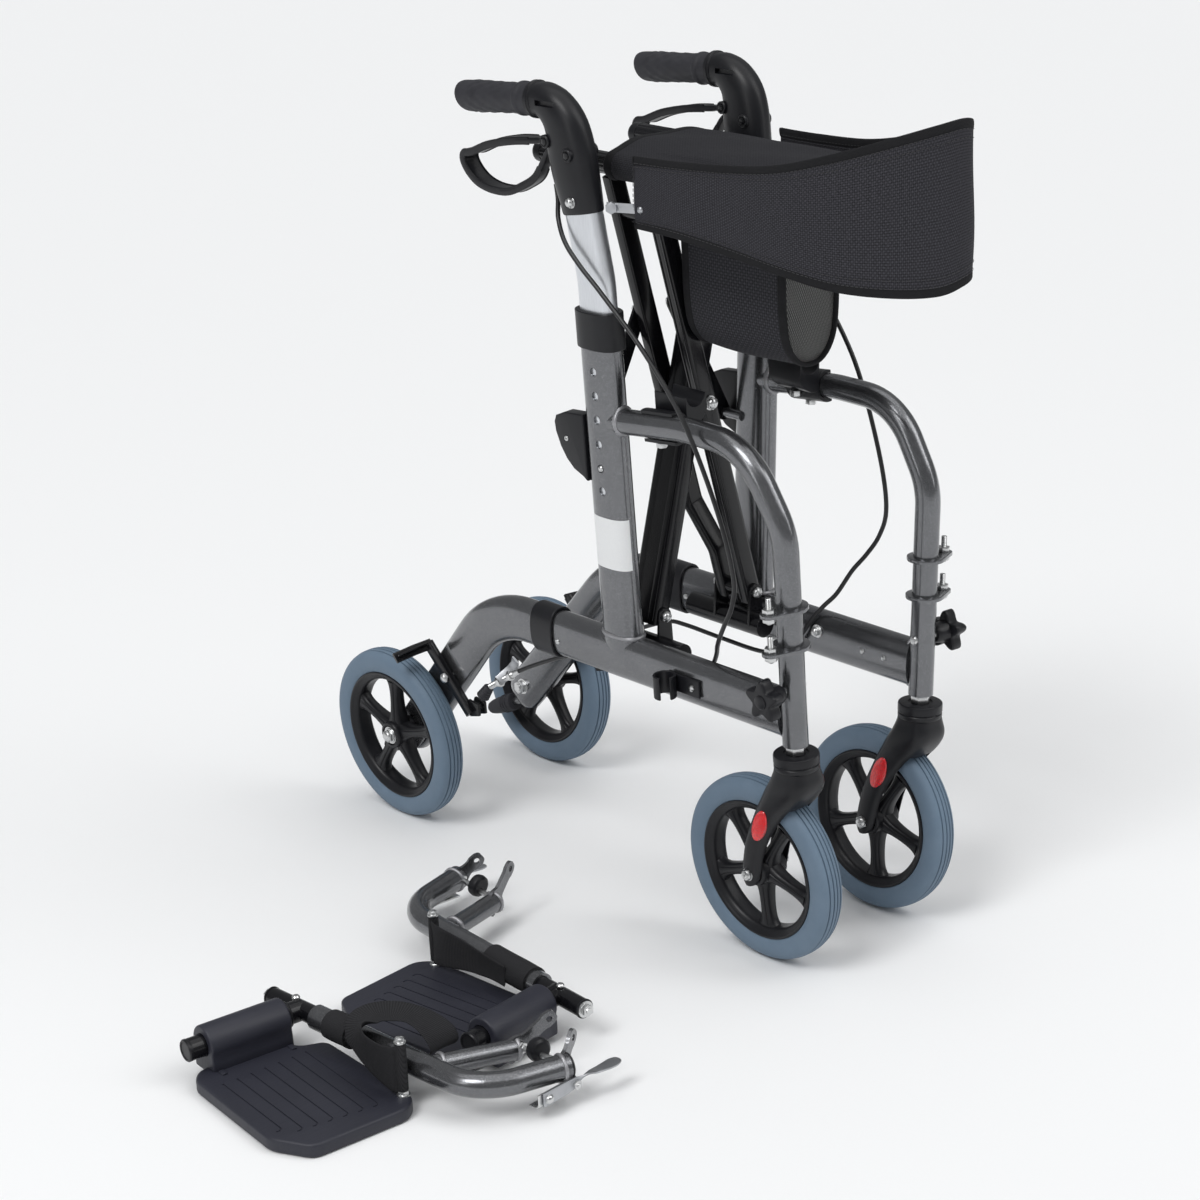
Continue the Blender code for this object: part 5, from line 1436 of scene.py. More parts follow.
for word, s in sides:
    node = word + "_pivot_bracket"
    piece(word + "PivotBracket", bracketShape(s), "glossBlack", word + "_frame", [node], moved, bevel=0.0005)
    piece(word + "BracketBolts", bracketBoltShape(s), "zincPlate", word + "_frame", (), moved)
    node = word + "_stabiliser_link"
    piece(word + "StabiliserLink", linkShape(s), "glossBlack", word + "_link", [node], moved, bevel=0.0005)
    piece(word + "LinkBolt", linkBoltShape(s), "zincPlate", word + "_link", (), moved)
print("cross frames done")


# Cloth: a grid whose own measures become its map, laid over a surface
def clothSheet(along, across, counts, spot):
    bm = bmesh.new()
    bmesh.ops.create_grid(bm, x_segments=counts[0], y_segments=counts[1], size=0.5)
    mapped(bm, lambda co: ((co.x + 0.5) * along, (co.y + 0.5) * across))
    for vert in bm.verts:
        vert.co = spot(vert.co.x + 0.5, vert.co.y + 0.5)
    return bm


def lineAt(points, share):
    # a point part of the way along an even row of points
    place = share * (len(points) - 1)
    k = min(int(place), len(points) - 2)
    return points[k].lerp(points[k + 1], place - k)


def evenLine(points, count):
    # the same line in equal steps
    points = [Vector(p) for p in points]
    total = pathLength(points)
    out = [points[0]]
    run = 0.0
    for a, b in zip(points, points[1:]):
        step = (b - a).length
        while len(out) < count and step > 0 and run + step >= total * len(out) / count:
            out.append(a.lerp(b, (total * len(out) / count - run) / step))
        run += step
    return out + [points[-1]]


def clothPiece(name, bm, material, nodes, thick, soften=True, matrix=moved):
    cloth = piece(name, bm, material, None, nodes, matrix, sharp=80)
    wall = cloth.modifiers.new("thickness", "SOLIDIFY")
    wall.thickness = thick
    wall.offset = 0.0
    if soften:
        soft = cloth.modifiers.new("soft", "SUBSURF")
        soft.levels = 1
        soft.render_levels = 1
    return cloth


stitch = {"long": 0.003, "every": 0.0046, "radius": 0.00034}


def stitchShape(line, out, lift):
    # a row of stitches on both faces of the cloth
    bm = bmesh.new()
    line = evenLine(line, max(2, int(pathLength(line) / stitch["every"])))
    for a, b in zip(line, line[1:]):
        way = (b - a).normalized()
        half = way * stitch["long"] / 2
        for side in (-1, 1):
            place = (a + b) / 2 + way.cross(out).normalized() * (side * lift)
            rod(bm, place - half, place + half, stitch["radius"], 5)
    return bm


def tapeShape(line, across, down, wide):
    # binding sewn along an edge, with its map along it
    start = Vector(line[0])
    bm = shaped(tube, line, across, down, wide, 16, 3.0)
    return mapped(bm, lambda co: ((co - start).length, (co - start).z * 0.7 + (co - start).x * 0.3))


def clothLine(spot, count, across=0.0):
    # a line along a cloth, at a share of its width
    return [spot(k / count, across) for k in range(count + 1)]


def bindings(rows, spot, count, across, down, wide):
    return [
        piece(name, tapeShape(clothLine(spot, count, v), across, down, wide), "bindingTape", None, (), moved,
        sharp=70) for name, v in rows]


def spread(items):
    # cloth that reaches from the left seat rail's side to the right one's; each item's placing is baked into
    # its mesh
    for item in items:
        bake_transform(item)


# Folded seat: a sling that wraps both seat rails
seatTop = (
    (-0.05, 0.803), (-0.036, 0.8058), (-0.018, 0.807), (0.0, 0.8072), (0.018, 0.807), (0.036, 0.8058),
    (0.05, 0.803))
seatWrap = arcPoints(0.0134, [-110 - 155 * k / 8 for k in range(9)])
seatLine = [(-railTop.x + x, 0, railTop.z + z) for x, z in seatWrap] + [(x, 0, z) for x, z in seatTop]
seatLine += [(-x, 0, z) for x, y, z in seatLine[8::-1]]
seatLine = evenLine(smoothPath(seatLine, 4), 60)
seatFront = -0.272
seatBack = -0.054


def seatSpot(u, v):
    point = lineAt(seatLine, u)
    y = seatFront + (seatBack - seatFront) * v
    sag = 0.0018 * math.sin(math.pi * v) + 0.001 * math.sin(17 * u + 9 * v) * math.sin(math.pi * u)
    return Vector((point.x, y, point.z + sag * (1 if point.z > 0.8 else 0)))


seatLength = pathLength(seatLine)
seatDepth = seatBack - seatFront
seat = clothPiece(
    "seatSling", clothSheet(seatLength, seatDepth, (60, 30), seatSpot), "seatCloth", ["seat"], 0.0026)
seatParts = bindings(
    (("seatFrontBinding", 0.0), ("seatBackBinding", 1.0)), seatSpot, 60, forward, 0.0021, 0.006)
spread([seat] + seatParts)

# Bag under the seat: a U of cloth with a mesh front and a plain back, bound at the edges
bagLine = (
    (0.0535, 0.786), (0.0515, 0.778), (0.04, 0.758), (0.037, 0.73), (0.0358, 0.7), (0.0348, 0.66),
    (0.029, 0.629), (0.015, 0.611), (0.0, 0.6068))
bagLine = bagLine + tuple((-x, z) for x, z in bagLine[-2::-1])
bagLine = evenLine(smoothPath([(x, 0, z) for x, z in bagLine], 5), 64)
bagFront = -0.25
bagBack = -0.116


def bagSpot(u, v):
    point = lineAt(bagLine, u)
    y = bagFront + (bagBack - bagFront) * v
    swell = math.sin(math.pi * v) * math.sin(math.pi * u) ** 0.5
    crease = 0.0016 * math.sin(8.0 * v + 3.0 * u) * math.sin(math.pi * u)
    side = math.copysign(1, point.x) * min(1, abs(point.x) / 0.02)
    return Vector(
        (point.x + side * (0.0035 * swell + crease), y,
        point.z - 0.004 * swell * max(0, 1 - abs(point.x) / 0.03)))


def bagEnd(v, bulge):
    # the panel that fills the U at one end
    def spot(s, t):
        left = bagSpot(0.5 - 0.5 * t, v)
        right = bagSpot(0.5 + 0.5 * t, v)
        point = left.lerp(right, s)
        point.y += bulge * math.sin(math.pi * s) * math.sin(math.pi * min(1, t * 0.5 + 0.15)) * min(1, t * 4)
        return point
    return spot


bagLength = pathLength(bagLine)
bagDepth = bagBack - bagFront
bag = clothPiece("bagBody", clothSheet(bagLength, bagDepth, (64, 24), bagSpot), "bagCloth", ["bag"], 0.0012)
bagParts = []
for name, v, bulge, cloth, thick in (("bagFront", 0.0, -0.004, "openMesh", 0.0008),
        ("bagBack", 1.0, 0.003, "seatCloth", 0.001)):
    panel = clothSheet(0.105, 0.2, (22, 40), bagEnd(v, bulge))
    bagParts.append(clothPiece(name, panel, cloth, (), thick, False))
bagParts += bindings(
    (("bagFrontBinding", 0.0), ("bagBackBinding", 1.0)), bagSpot, 72, forward, 0.0022, 0.0052)
spread([bag] + bagParts)
print("seat and bag done")

# Backrest: a padded band bowed forward, bound along both edges
strapRows = (
    (-0.101, -0.119, 0.7405, 0.803), (-0.1, -0.122, 0.74, 0.803), (-0.0965, -0.17, 0.737, 0.804),
    (-0.0905, -0.24, 0.728, 0.808), (-0.083, -0.295, 0.718, 0.815), (-0.067, -0.35, 0.708, 0.83),
    (-0.045, -0.4, 0.706, 0.847), (-0.022, -0.435, 0.709, 0.86), (0.0, -0.445, 0.716, 0.8645),
    (0.022, -0.437, 0.719, 0.86), (0.045, -0.405, 0.716, 0.85), (0.067, -0.355, 0.708, 0.834),
    (0.083, -0.295, 0.718, 0.818), (0.09, -0.24, 0.728, 0.808), (0.095, -0.17, 0.737, 0.804),
    (0.0985, -0.122, 0.74, 0.803), (0.0996, -0.119, 0.7405, 0.803))
strapLine = smoothPath(strapRows, 8)
strapPlan = [Vector((x, y, 0)) for x, y, low, high in strapLine]
strapLength = pathLength(strapPlan)


def strapSpot(u, v):
    place = u * (len(strapLine) - 1)
    k = min(int(place), len(strapLine) - 2)
    a, b = Vector(strapLine[k]), Vector(strapLine[k + 1])
    x, y, low, high = a.lerp(b, place - k)
    out = 0.0012 * math.sin(math.pi * v) + 0.001 * math.sin(11 * u + 2.0) * math.sin(2 * math.pi * v)
    way = (Vector((b[0], b[1], 0)) - Vector((a[0], a[1], 0))).normalized()
    return Vector((x + way.y * out, y - way.x * out, low + (high - low) * v))


strap = clothPiece(
    "backrestStrap", clothSheet(strapLength, 0.1, (144, 14), strapSpot), "strapCloth", ["backrest_strap"],
    0.0028)
strapParts = bindings(
    (("strapTopBinding", 0.985), ("strapLowBinding", 0.015)), strapSpot, 144, upward, 0.0019, 0.0048)


def strapStitch(name, line, out, lift):
    strapParts.append(piece(name, stitchShape(line, out, lift), "sewingThread", None, (), moved, sharp=80))


stitchRows = (
    ("TopStitch", 0.955, 0.0019), ("LowStitch", 0.045, 0.0019), ("TopSeam", 0.9, 0.00185),
    ("LowSeam", 0.1, 0.00185))
for name, v, lift in stitchRows:
    strapStitch("strap" + name, clothLine(strapSpot, 144, v), upward, lift)
for letter, u, low in (("A", 0.008, 0.06), ("B", 0.045, 0.1), ("C", 0.992, 0.06), ("D", 0.955, 0.1)):
    edge = strapSpot(min(1, u + 0.01), 0.5) - strapSpot(max(0, u - 0.01), 0.5)
    line = [strapSpot(u, low + (1 - 2 * low) * k / 20) for k in range(21)]
    strapStitch("strapEndStitch" + letter, line, edge, 0.00185)
for item in [strap] + strapParts:
    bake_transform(item)
strapHeights = [high - low for x, y, low, high in strapLine]
strapArea = sum(strapLength / 144 * strapHeights[min(k, len(strapHeights) - 1)] for k in range(144))
strapBracketZ = 0.756
for name, s, start, body in (("rightStrapBracket", -1, -0.09, "right_handle"),
        ("leftStrapBracket", 1, -0.0965, "backrest")):
    rows = ((0.113, start), (0.1105, -0.098), (0.104, -0.112), (0.101, -0.12), (0.0985, -0.13))
    line = [Vector((s * x, y, strapBracketZ)) for x, y in rows]
    bm = shaped(tube, line, upward, 0.0011, 0.0048, 14, 5)
    hexNut(bm, (s * 0.1112, start - 0.0055, strapBracketZ), (s, -0.6, 0), 0.0062, 0.005)
    domeNut(bm, line[3].lerp(line[4], 0.5), (s, -0.3, 0), 0.0042, 0.005)
    piece(name, bm, "stampedSteel", body, (), moved)
print("backrest done")


# Holder clip on the right rail
def clipShape():
    # tongue on the rail with a standing ring that is open to the outside
    centre = Vector((0.0285, -0.16, 0))
    hoop = shaped(rod, centre + upward * 0.27, centre + upward * 0.2945, 0.0118, 48)
    inside = shaped(rod, centre + upward * 0.26, centre + upward * 0.3, 0.0094, 48)
    outline = [centre + Vector((x, y, 0.26)) for x, y in [(0.0, 0.0)] + arcPoints(0.03, (-75, -20))]
    bm = carve(hoop, [inside, shaped(plate, outline, (0, 0, 0.04))])
    tongue = bmesh.new()
    block(tongue, (0.0146, -0.198, 0.2735), (0.0174, -0.15, 0.2925))
    block(tongue, (0.017, -0.165, 0.2755), (0.0188, -0.155, 0.2905))
    return joined(bm, tongue)


def clipScrewShape():
    head = [(0.0, 0.0), (0.0036, 0.0), (0.0034, 0.0012), (0.002, 0.002), (0.0, 0.0021)]
    return shaped(turned, head, (0.0173, -0.188, railHeight), sideways, 24)


rightSide = sideMatrix(-1)
piece("holderClip", clipShape(), "mouldedPlastic", "right_frame", ["holder_clip"], rightSide, bevel=0.0011)
piece("holderScrews", clipScrewShape(), "zincPlate", "right_frame", (), rightSide)


# Blank label on the near upright
def labelShape():
    # a thin skin on the outer and front faces of the oval tube
    t = frameTube
    line = [(0, uprightY, 0.383), (0, uprightY, 0.438)]
    bm = shaped(tube, line, sideways, t["ovalDown"] + 0.0003, t["ovalWide"] + 0.0003, 48)
    # what is left lies behind these planes
    planes = (
        ((0, -0.051, 0), (0, -1, 0)), ((0.003, 0, 0), (1, 0, 0)), ((0, 0, 0.3832), (0, 0, 1)),
        ((0, 0, 0.4378), (0, 0, -1)))
    for centre, normal in planes:
        everything = bm.verts[:] + bm.edges[:] + bm.faces[:]
        bmesh.ops.bisect_plane(bm, geom=everything, plane_co=centre, plane_no=normal, clear_inner=True)
    mapped(bm, lambda co: (-co.y + 0.5 * co.x, co.z))
    bmesh.ops.recalc_face_normals(bm, faces=bm.faces[:])
    bmesh.ops.solidify(bm, geom=bm.faces[:], thickness=0.0003)
    return bm


piece("uprightLabel", labelShape(), "blankLabel", "right_frame", (), rightSide, sharp=30)
print("clip and label done")

# Footrests: each is drawn in its own measures, then laid on the floor where it lies
footrests = {
    "a": {
        "at": (-0.5232, -0.065), "heading": -86.3, "mirror": 1, "pull": 0.0, "skew": 9.4, "slide": 0.0,
        "sleeve": (0.062, 0.016)},
    "b": {
        "at": (-0.333, -0.222), "heading": 86.9, "mirror": -1, "pull": 0.004, "skew": 10.0, "slide": -0.024,
        "sleeve": (0.07, 0.034)},
}
tubeHeight = 0.036
footTube = {"main": 0.0125, "branch": 0.0105, "inner": 0.0095, "axle": 0.011, "bend": 0.055}
plateTop = 0.014


def hangerPath(pull):
    corner = [(0.024, 0, tubeHeight), (0.2495 + pull, 0, tubeHeight), (0.278 + pull, 0.086, tubeHeight)]
    return roundedPath(corner, footTube["bend"], 5)


def hangerTip(pull):
    path = hangerPath(pull)
    return path[-1], (path[-1] - path[-2]).normalized()


def hookShape(base, tip, pull):
    # stamped hook plate with pinched sides and an eye at its tip
    base = Vector(base) + sideways * pull
    tip = Vector(tip) + sideways * pull
    along = (tip - base).normalized()
    face = Vector((-along.y, along.x, 0)).normalized()
    across = face.cross(along)
    reach = (tip - base).length
    profile = smoothPath([(-0.0135, 0.0), (-0.0115, -0.0092), (-0.003, -0.0118), (0.006, -0.0116),
        (0.0125, -0.0084), (0.0165, -0.0066), (reach - 0.0165, -0.0062), (reach - 0.012, -0.0074),
        (reach - 0.005, -0.007), (reach - 0.0006, -0.0042), (reach, 0.0), (reach - 0.0006, 0.0042),
        (reach - 0.005, 0.007), (reach - 0.012, 0.0074), (reach - 0.0165, 0.0062), (0.0165, 0.0066),
        (0.0125, 0.0084), (0.006, 0.0098), (-0.003, 0.0098), (-0.0115, 0.0086), (-0.0135, 0.0)], 4)[:-1]
    outline = [base + along * a + across * b - face * 0.002 for a, b in profile]
    eye = base + along * (reach - 0.0078)
    return carve(
        shaped(plate, outline, face * 0.004), [shaped(rod, eye - face * 0.01, eye + face * 0.01, 0.0032, 24)])


hookPlaces = (
    ((0.2756, 0.08, 0.0348), (0.264, 0.1088, 0.0593)),
    ((0.2105, 0.082, 0.031), (0.2269, 0.1204, 0.0598)))


def hangerShape(f):
    pull = f["pull"]
    main = shaped(roundBar, hangerPath(pull), footTube["main"], 32)
    main = carve(
        main, [shaped(rod, (0.0, 0, tubeHeight), (0.15, 0, tubeHeight), footTube["inner"] + 0.0003, 32)])
    rows = ((0.181, 0.004, 0), (0.185, 0.0146, -0.0006), (0.212, 0.086, -0.005))
    branch = shaped(roundBar, [(x + pull, y, tubeHeight + z) for x, y, z in rows], footTube["branch"], 28)
    hooks = [hookShape(base, tip, pull) for base, tip in hookPlaces]
    return joined(main, branch, *hooks)


def hangerWelds(f):
    pull = f["pull"]
    bm = bmesh.new()
    way = Vector((0.0285, 0.082, -0.005)).normalized()
    end, tipWay = hangerTip(pull)
    rows = (
        ((0.1846 + pull, 0.0135, tubeHeight - 0.0006), way, footTube["branch"] + 0.0004, 0.002, 26),
        ((0.211 + pull, 0.0835, tubeHeight - 0.0048), way, footTube["branch"], 0.0019, 26),
        (end - tipWay * 0.007, tipWay, footTube["main"], 0.0018, 30))
    for point, along, radius, thick, ripples in rows:
        weldBead(bm, placeAt(point, along, upward), radius, radius, thick, 2.0, ripples)
    return bm


def hangerCapShape(f):
    # plug in the main tube, rubber disc between the hooks
    pull = f["pull"]
    plug = [(0.0, -0.002), (0.0118, -0.002), (0.0127, 0.0), (0.0127, 0.0012), (0.0112, 0.0024), (0.0, 0.0027)]
    bm = shaped(turned, plug, *hangerTip(pull), 32)
    disc = mirrored([(0.0, -0.0058), (0.0088, -0.0058), (0.0112, -0.004), (0.012, 0.0)])
    turned(bm, disc, (0.24 + pull, 0.085, 0.04), (1.0, -0.15, 0.1), 36)
    return bm


def hangerSteelShape(f):
    # axle between the hooks, bracket under the end with its bolt, lever pin
    pull = f["pull"]
    bm = bmesh.new()
    rod(bm, (0.213 + pull, 0.0838, 0.0345), (0.2765 + pull, 0.0838, 0.0385), 0.003, 16)
    for x, z in ((0.2165, 0.0347), (0.265, 0.0378)):
        hexNut(bm, (x + pull, 0.0838, z), (1, 0, 0.06), 0.006, 0.0045)
    strip = (
        (0.2878, 0.029, 0, -1), (0.2878, 0.019, -0.05, -1), (0.2862, 0.016, -1, -1), (0.283, 0.015, -1, -0.1),
        (0.2755, 0.015, -1, 0))
    places = [placeAt((x + pull, 0.0615, z), (wayX, 0, wayZ), forward) for x, z, wayX, wayZ in strip]
    skin(bm, places, [(0.0009, 0.0245)] * len(strip), 20, 8)
    domeNut(bm, (0.2884 + pull, 0.0485, 0.0222), sideways, 0.0052, 0.0064)
    thread(bm, (0.28 + pull, 0.083, 0.0222), (0.296 + pull, 0.083, 0.0222), 0.0024)
    hexNut(bm, (0.2906 + pull, 0.083, 0.0222), sideways, 0.0048, 0.0036)
    return bm


def latchShape(f):
    # spoon-shaped lever that lies flat at its tip
    x = 0.2889 + f["pull"]
    rows = [
        (0.042, 0.001, 0.0228, 0.0009, 0.0062), (0.044, 0.001, 0.0228, 0.0009, 0.007),
        (0.07, 0.001, 0.023, 0.0009, 0.0068), (0.086, 0.0014, 0.0246, 0.0009, 0.0052),
        (0.096, 0.0036, 0.0278, 0.001, 0.0042), (0.106, 0.0066, 0.0288, 0.0011, 0.0052),
        (0.118, 0.0078, 0.0288, 0.0011, 0.007), (0.127, 0.0074, 0.0287, 0.0011, 0.0072),
        (0.133, 0.007, 0.0286, 0.001, 0.005), (0.1348, 0.0068, 0.0286, 0.0008, 0.0022)]
    places = []
    sizes = []
    for y, out, z, thin, wide in smoothPath(rows, 4):
        lay = min(1.0, max(0.0, (y - 0.082) / 0.02))
        turn = Matrix.Rotation(math.radians(90 * lay), 4, "Y")
        places.append(
            Matrix.Translation((x + out, y, z)) @ turn @ frameAt((0, 0, 0), sideways, upward, -forward))
        sizes.append((thin, wide))
    return shaped(skin, places, sizes, 20, 5)


def skewPoint(f, u, v, z=0.0):
    lean = math.radians(f["skew"])
    return Vector((u * math.cos(lean) + v * math.sin(lean), -u * math.sin(lean) + v * math.cos(lean), z))


axleEnd = -0.1215
boltEnd = -0.042


def extensionShape(f):
    bm = shaped(roundBar, [(x, 0, tubeHeight) for x in (boltEnd, -0.02, 0.085)], footTube["inner"], 28)
    rod(bm, (0, 0, tubeHeight), skewPoint(f, 0, axleEnd, tubeHeight), footTube["axle"], 36)
    return bm


def extensionCapShape(f):
    # plug in the axle's far end, spacer washer beside the sleeve, disc on the extension tube's end
    way = skewPoint(f, 0, -1)
    plug = (
        (0.0, -0.002), (0.0108, -0.002), (0.0113, 0.0), (0.0113, 0.0018), (0.0104, 0.0028), (0.0088, 0.003),
        (0.0086, 0.0023), (0.0, 0.0023))
    spacer = ((0.0112, 0.0), (0.0132, 0.0004), (0.0136, 0.0016), (0.0132, 0.0028), (0.0112, 0.003))
    disc = ((0.0, 0.0), (0.01, 0.0), (0.01, 0.0016), (0.009, 0.0022), (0.0, 0.0022))
    bm = bmesh.new()
    turned(bm, plug, skewPoint(f, 0, axleEnd, tubeHeight), way, 40)
    turned(bm, spacer, skewPoint(f, 0, -0.015, tubeHeight), way, 36)
    turned(bm, disc, (-0.0417, 0, tubeHeight), (-1, 0, 0), 32)
    return bm


def extensionBoltShape(f):
    bm = bmesh.new()
    washer(bm, (-0.0438, 0, tubeHeight), (-1, 0, 0), 0.0086, 0.0012)
    hexNut(bm, (-0.045, 0, tubeHeight), (-1, 0, 0), 0.0062, 0.0044)
    tip = [(0.0, 0.0), (0.0034, 0.0), (0.003, 0.001), (0.0, 0.0013)]
    button = [(0.0, 0.0), (0.004, 0.0), (0.004, 0.0016), (0.0028, 0.003), (0.0, 0.0034)]
    turned(bm, tip, (-0.0493, 0, tubeHeight), (-1, 0, 0), 20)
    turned(bm, button, (-0.006, 0, tubeHeight + 0.0105), upward, 24)
    return bm


plateCorners = (
    (0.0, -0.0225), (0.024, -0.0205), (0.034, 0.0065), (0.165, 0.0125), (0.181, 0.0105), (0.1945, -0.003),
    (0.1965, -0.104), (0.158, -0.128), (0.018, -0.1265), (0.004, -0.115))
grooves = {"count": 7, "first": -0.0205, "step": 0.015, "width": 0.0016, "deep": 0.0011, "hook": 0.0042}


def roundOutline(points, radius):
    # each corner of a closed outline becomes an arc
    out = []
    count = len(points)
    for i in range(count):
        corner = Vector((*points[i], 0))
        back = Vector((*points[i - 1], 0)) - corner
        ahead = Vector((*points[(i + 1) % count], 0)) - corner
        reach = min(radius, back.length * 0.45, ahead.length * 0.45)
        start = corner + back.normalized() * reach
        end = corner + ahead.normalized() * reach
        for t in (0.0, 0.2, 0.4, 0.6, 0.8, 1.0):
            out.append(start * (1 - t) ** 2 + corner * (2 * t * (1 - t)) + end * t ** 2)
    return out


def footPlateShape(f):
    # moulded tray with a rolled edge and a row of engraved strips
    edge = roundOutline(plateCorners, 0.009)
    bm = shaped(plate, [(p.x, p.y, -0.0003) for p in edge], (0, 0, plateTop + 0.0003))
    rounded(bm, [e for e in bm.edges if abs(e.verts[0].co.z - e.verts[1].co.z) < 1e-6], 0.003)
    cutters = []
    g = grooves
    for k in range(g["count"]):
        v = g["first"] - g["step"] * k
        front = 0.168 - 0.0016 * k - (0.01 if k == 6 else 0.0)
        back = 0.04 + 0.0005 * k
        line = [(front * t + back * (1 - t), v, plateTop) for t in (0.0, 0.5, 1.0)]
        # the strip's front end hooks round
        line += [
            (front + b, v - g["hook"] + a, plateTop) for a, b in arcPoints(g["hook"], (20, 45, 70, 95, 120))]
        cutters.append(shaped(tube, line, upward, g["width"] / 2, g["deep"], 10, 3))
    return carve(bm, cutters)


def rollerShape(f):
    # sleeve that turns on the axle tube, blended into the plate by a skirt
    near = -0.02
    far = -0.106
    outline = [(x, tubeHeight + z) for x, z in arcPoints(0.019, range(-20, 201, 10))]
    outline += [
        (-0.0182, 0.024), (-0.0186, 0.01), (-0.018, 0.0072), (0.018, 0.0072), (0.0196, 0.01), (0.0186, 0.022)]
    bm = shaped(plate, [(x, far, z) for x, z in outline], (0, near - far, 0))
    rounded(bm, [e for e in bm.edges if abs(e.verts[0].co.y - e.verts[1].co.y) < 1e-6], 0.0022)
    bore = shaped(
        rod, (0, near + 0.02, tubeHeight), (0, far - 0.02, tubeHeight), footTube["axle"] + 0.0006, 36)
    bm = carve(bm, [bore])
    # ribs under the sleeve where it meets the tray
    ribs = bmesh.new()
    for y in (-0.026, -0.1):
        tube(ribs, [(0.017, y, 0.01), (0.023, y, 0.0135), (0.029, y, 0.0125)], forward, 0.003, 0.003, 14, 3)
    return joined(bm, ribs)


postAt = (0.1714, 0.006)


def postShape(f):
    bm = bmesh.new()
    x, y = postAt
    rod(bm, (x, y, 0.013), (x, y, 0.072), 0.0028, 20)
    washer(bm, (x, y, 0.0139), upward, 0.0066, 0.001)
    hexNut(bm, (x, y, 0.0149), upward, 0.0058, 0.0042)
    washer(bm, (x, y, 0.069), upward, 0.0058, 0.001)
    # the screw's head with its crossed slots, cut by itself so that only one closed shape is carved
    head = [(0.0, 0.07), (0.0046, 0.07), (0.005, 0.0714), (0.0042, 0.0734), (0.0026, 0.0742), (0.0, 0.0744)]
    slots = []
    for a, b in ((0.0006, 0.006), (0.006, 0.0006)):
        slots.append(shaped(block, (x - a, y - b, 0.0736), (x + a, y + b, 0.08)))
    return joined(bm, carve(shaped(turned, head, (x, y, 0), upward, 24), slots))


# Webbing heel loops: from the post, round the tube and back over itself
loopRows = {
    "a": ((0.1712, -0.0245, 0.0415, 0, 0, 1, 0.0245), (0.164, -0.029, 0.0415, 0, 0, 1, 0.024),
    (0.15, -0.0292, 0.0422, 0.05, -0.05, 1, 0.022), (0.134, -0.028, 0.0445, 0.2, -0.1, 1, 0.0205),
    (0.118, -0.0255, 0.049, 0.55, -0.2, 0.8, 0.02), (0.105, -0.019, 0.056, 0.9, -0.25, 0.5, 0.02),
    (0.1, -0.007, 0.0625, 1, -0.05, 0.1, 0.02), (0.103, 0.008, 0.065, 0.95, -0.35, 0, 0.02),
    (0.114, 0.022, 0.064, 0.7, -0.7, 0, 0.02), (0.13, 0.031, 0.062, 0.35, -0.93, 0.1, 0.0195),
    (0.147, 0.034, 0.058, 0.1, -1, 0.1, 0.019), (0.161, 0.035, 0.05, 0, -1, 0, 0.0185),
    (0.166, 0.035, 0.04, 0, -1, 0, 0.018), (0.159, 0.035, 0.0325, 0, -1, 0, 0.018)),
    "b": ((0.1712, -0.025, 0.0415, 0, 0, 1, 0.0245), (0.164, -0.0292, 0.0415, 0, 0, 1, 0.024),
    (0.15, -0.0285, 0.0415, 0, 0, 1, 0.022), (0.134, -0.025, 0.041, 0, 0, 1, 0.0195),
    (0.118, -0.0215, 0.04, 0, 0, 1, 0.0165), (0.102, -0.019, 0.0385, 0, 0, 1, 0.014),
    (0.09, -0.0172, 0.0375, 0, 0, 1, 0.0125), (0.078, -0.0162, 0.037, 0, 0, 1, 0.012),
    (0.064, -0.016, 0.0365, 0, 0, 1, 0.0118))}


def loopSpot(letter):
    rows = smoothPath(loopRows[letter], 8)
    ways = [
        (Vector(rows[min(k + 1, len(rows) - 1)][:3]) - Vector(rows[max(k - 1, 0)][:3])).normalized()
        for k in range(len(rows))]

    def spot(s, t):
        place = s * (len(rows) - 1)
        k = min(int(place), len(rows) - 2)
        row = Vector(rows[k]).lerp(Vector(rows[k + 1]), place - k)
        way = ways[k].lerp(ways[k + 1], place - k).normalized()
        across = Vector(row[3:6])
        across = (across - way * across.dot(way)).normalized()
        cup = 0.0014 * (1 - (2 * t - 1) ** 2)
        return Vector(row[:3]) + across * ((t - 0.5) * 2 * row[6]) + way.cross(across) * cup
    return rows, spot


def sewnRound(profile, centre, axis, steps):
    return mapped(shaped(turned, profile, centre, axis, steps), lambda co: (co.x + 0.3 * co.z, co.y + co.z))


def tubeSleeveShape(f):
    # webbing sewn round the extension tube
    spot, long = f["sleeve"]
    rows = ((0.0126, -1), (0.0146, -1), (0.015, -0.4), (0.0148, 0.5), (0.015, 1), (0.0127, 1))
    return sewnRound([(r, spot + long * share) for r, share in rows], (0, 0, tubeHeight), sideways, 40)


def postSleeveShape(f):
    profile = ((0.0029, 0.02), (0.0052, 0.02), (0.0055, 0.044), (0.0052, 0.068), (0.0029, 0.0682))
    return sewnRound(profile, skewPoint(f, *postAt), upward, 28)


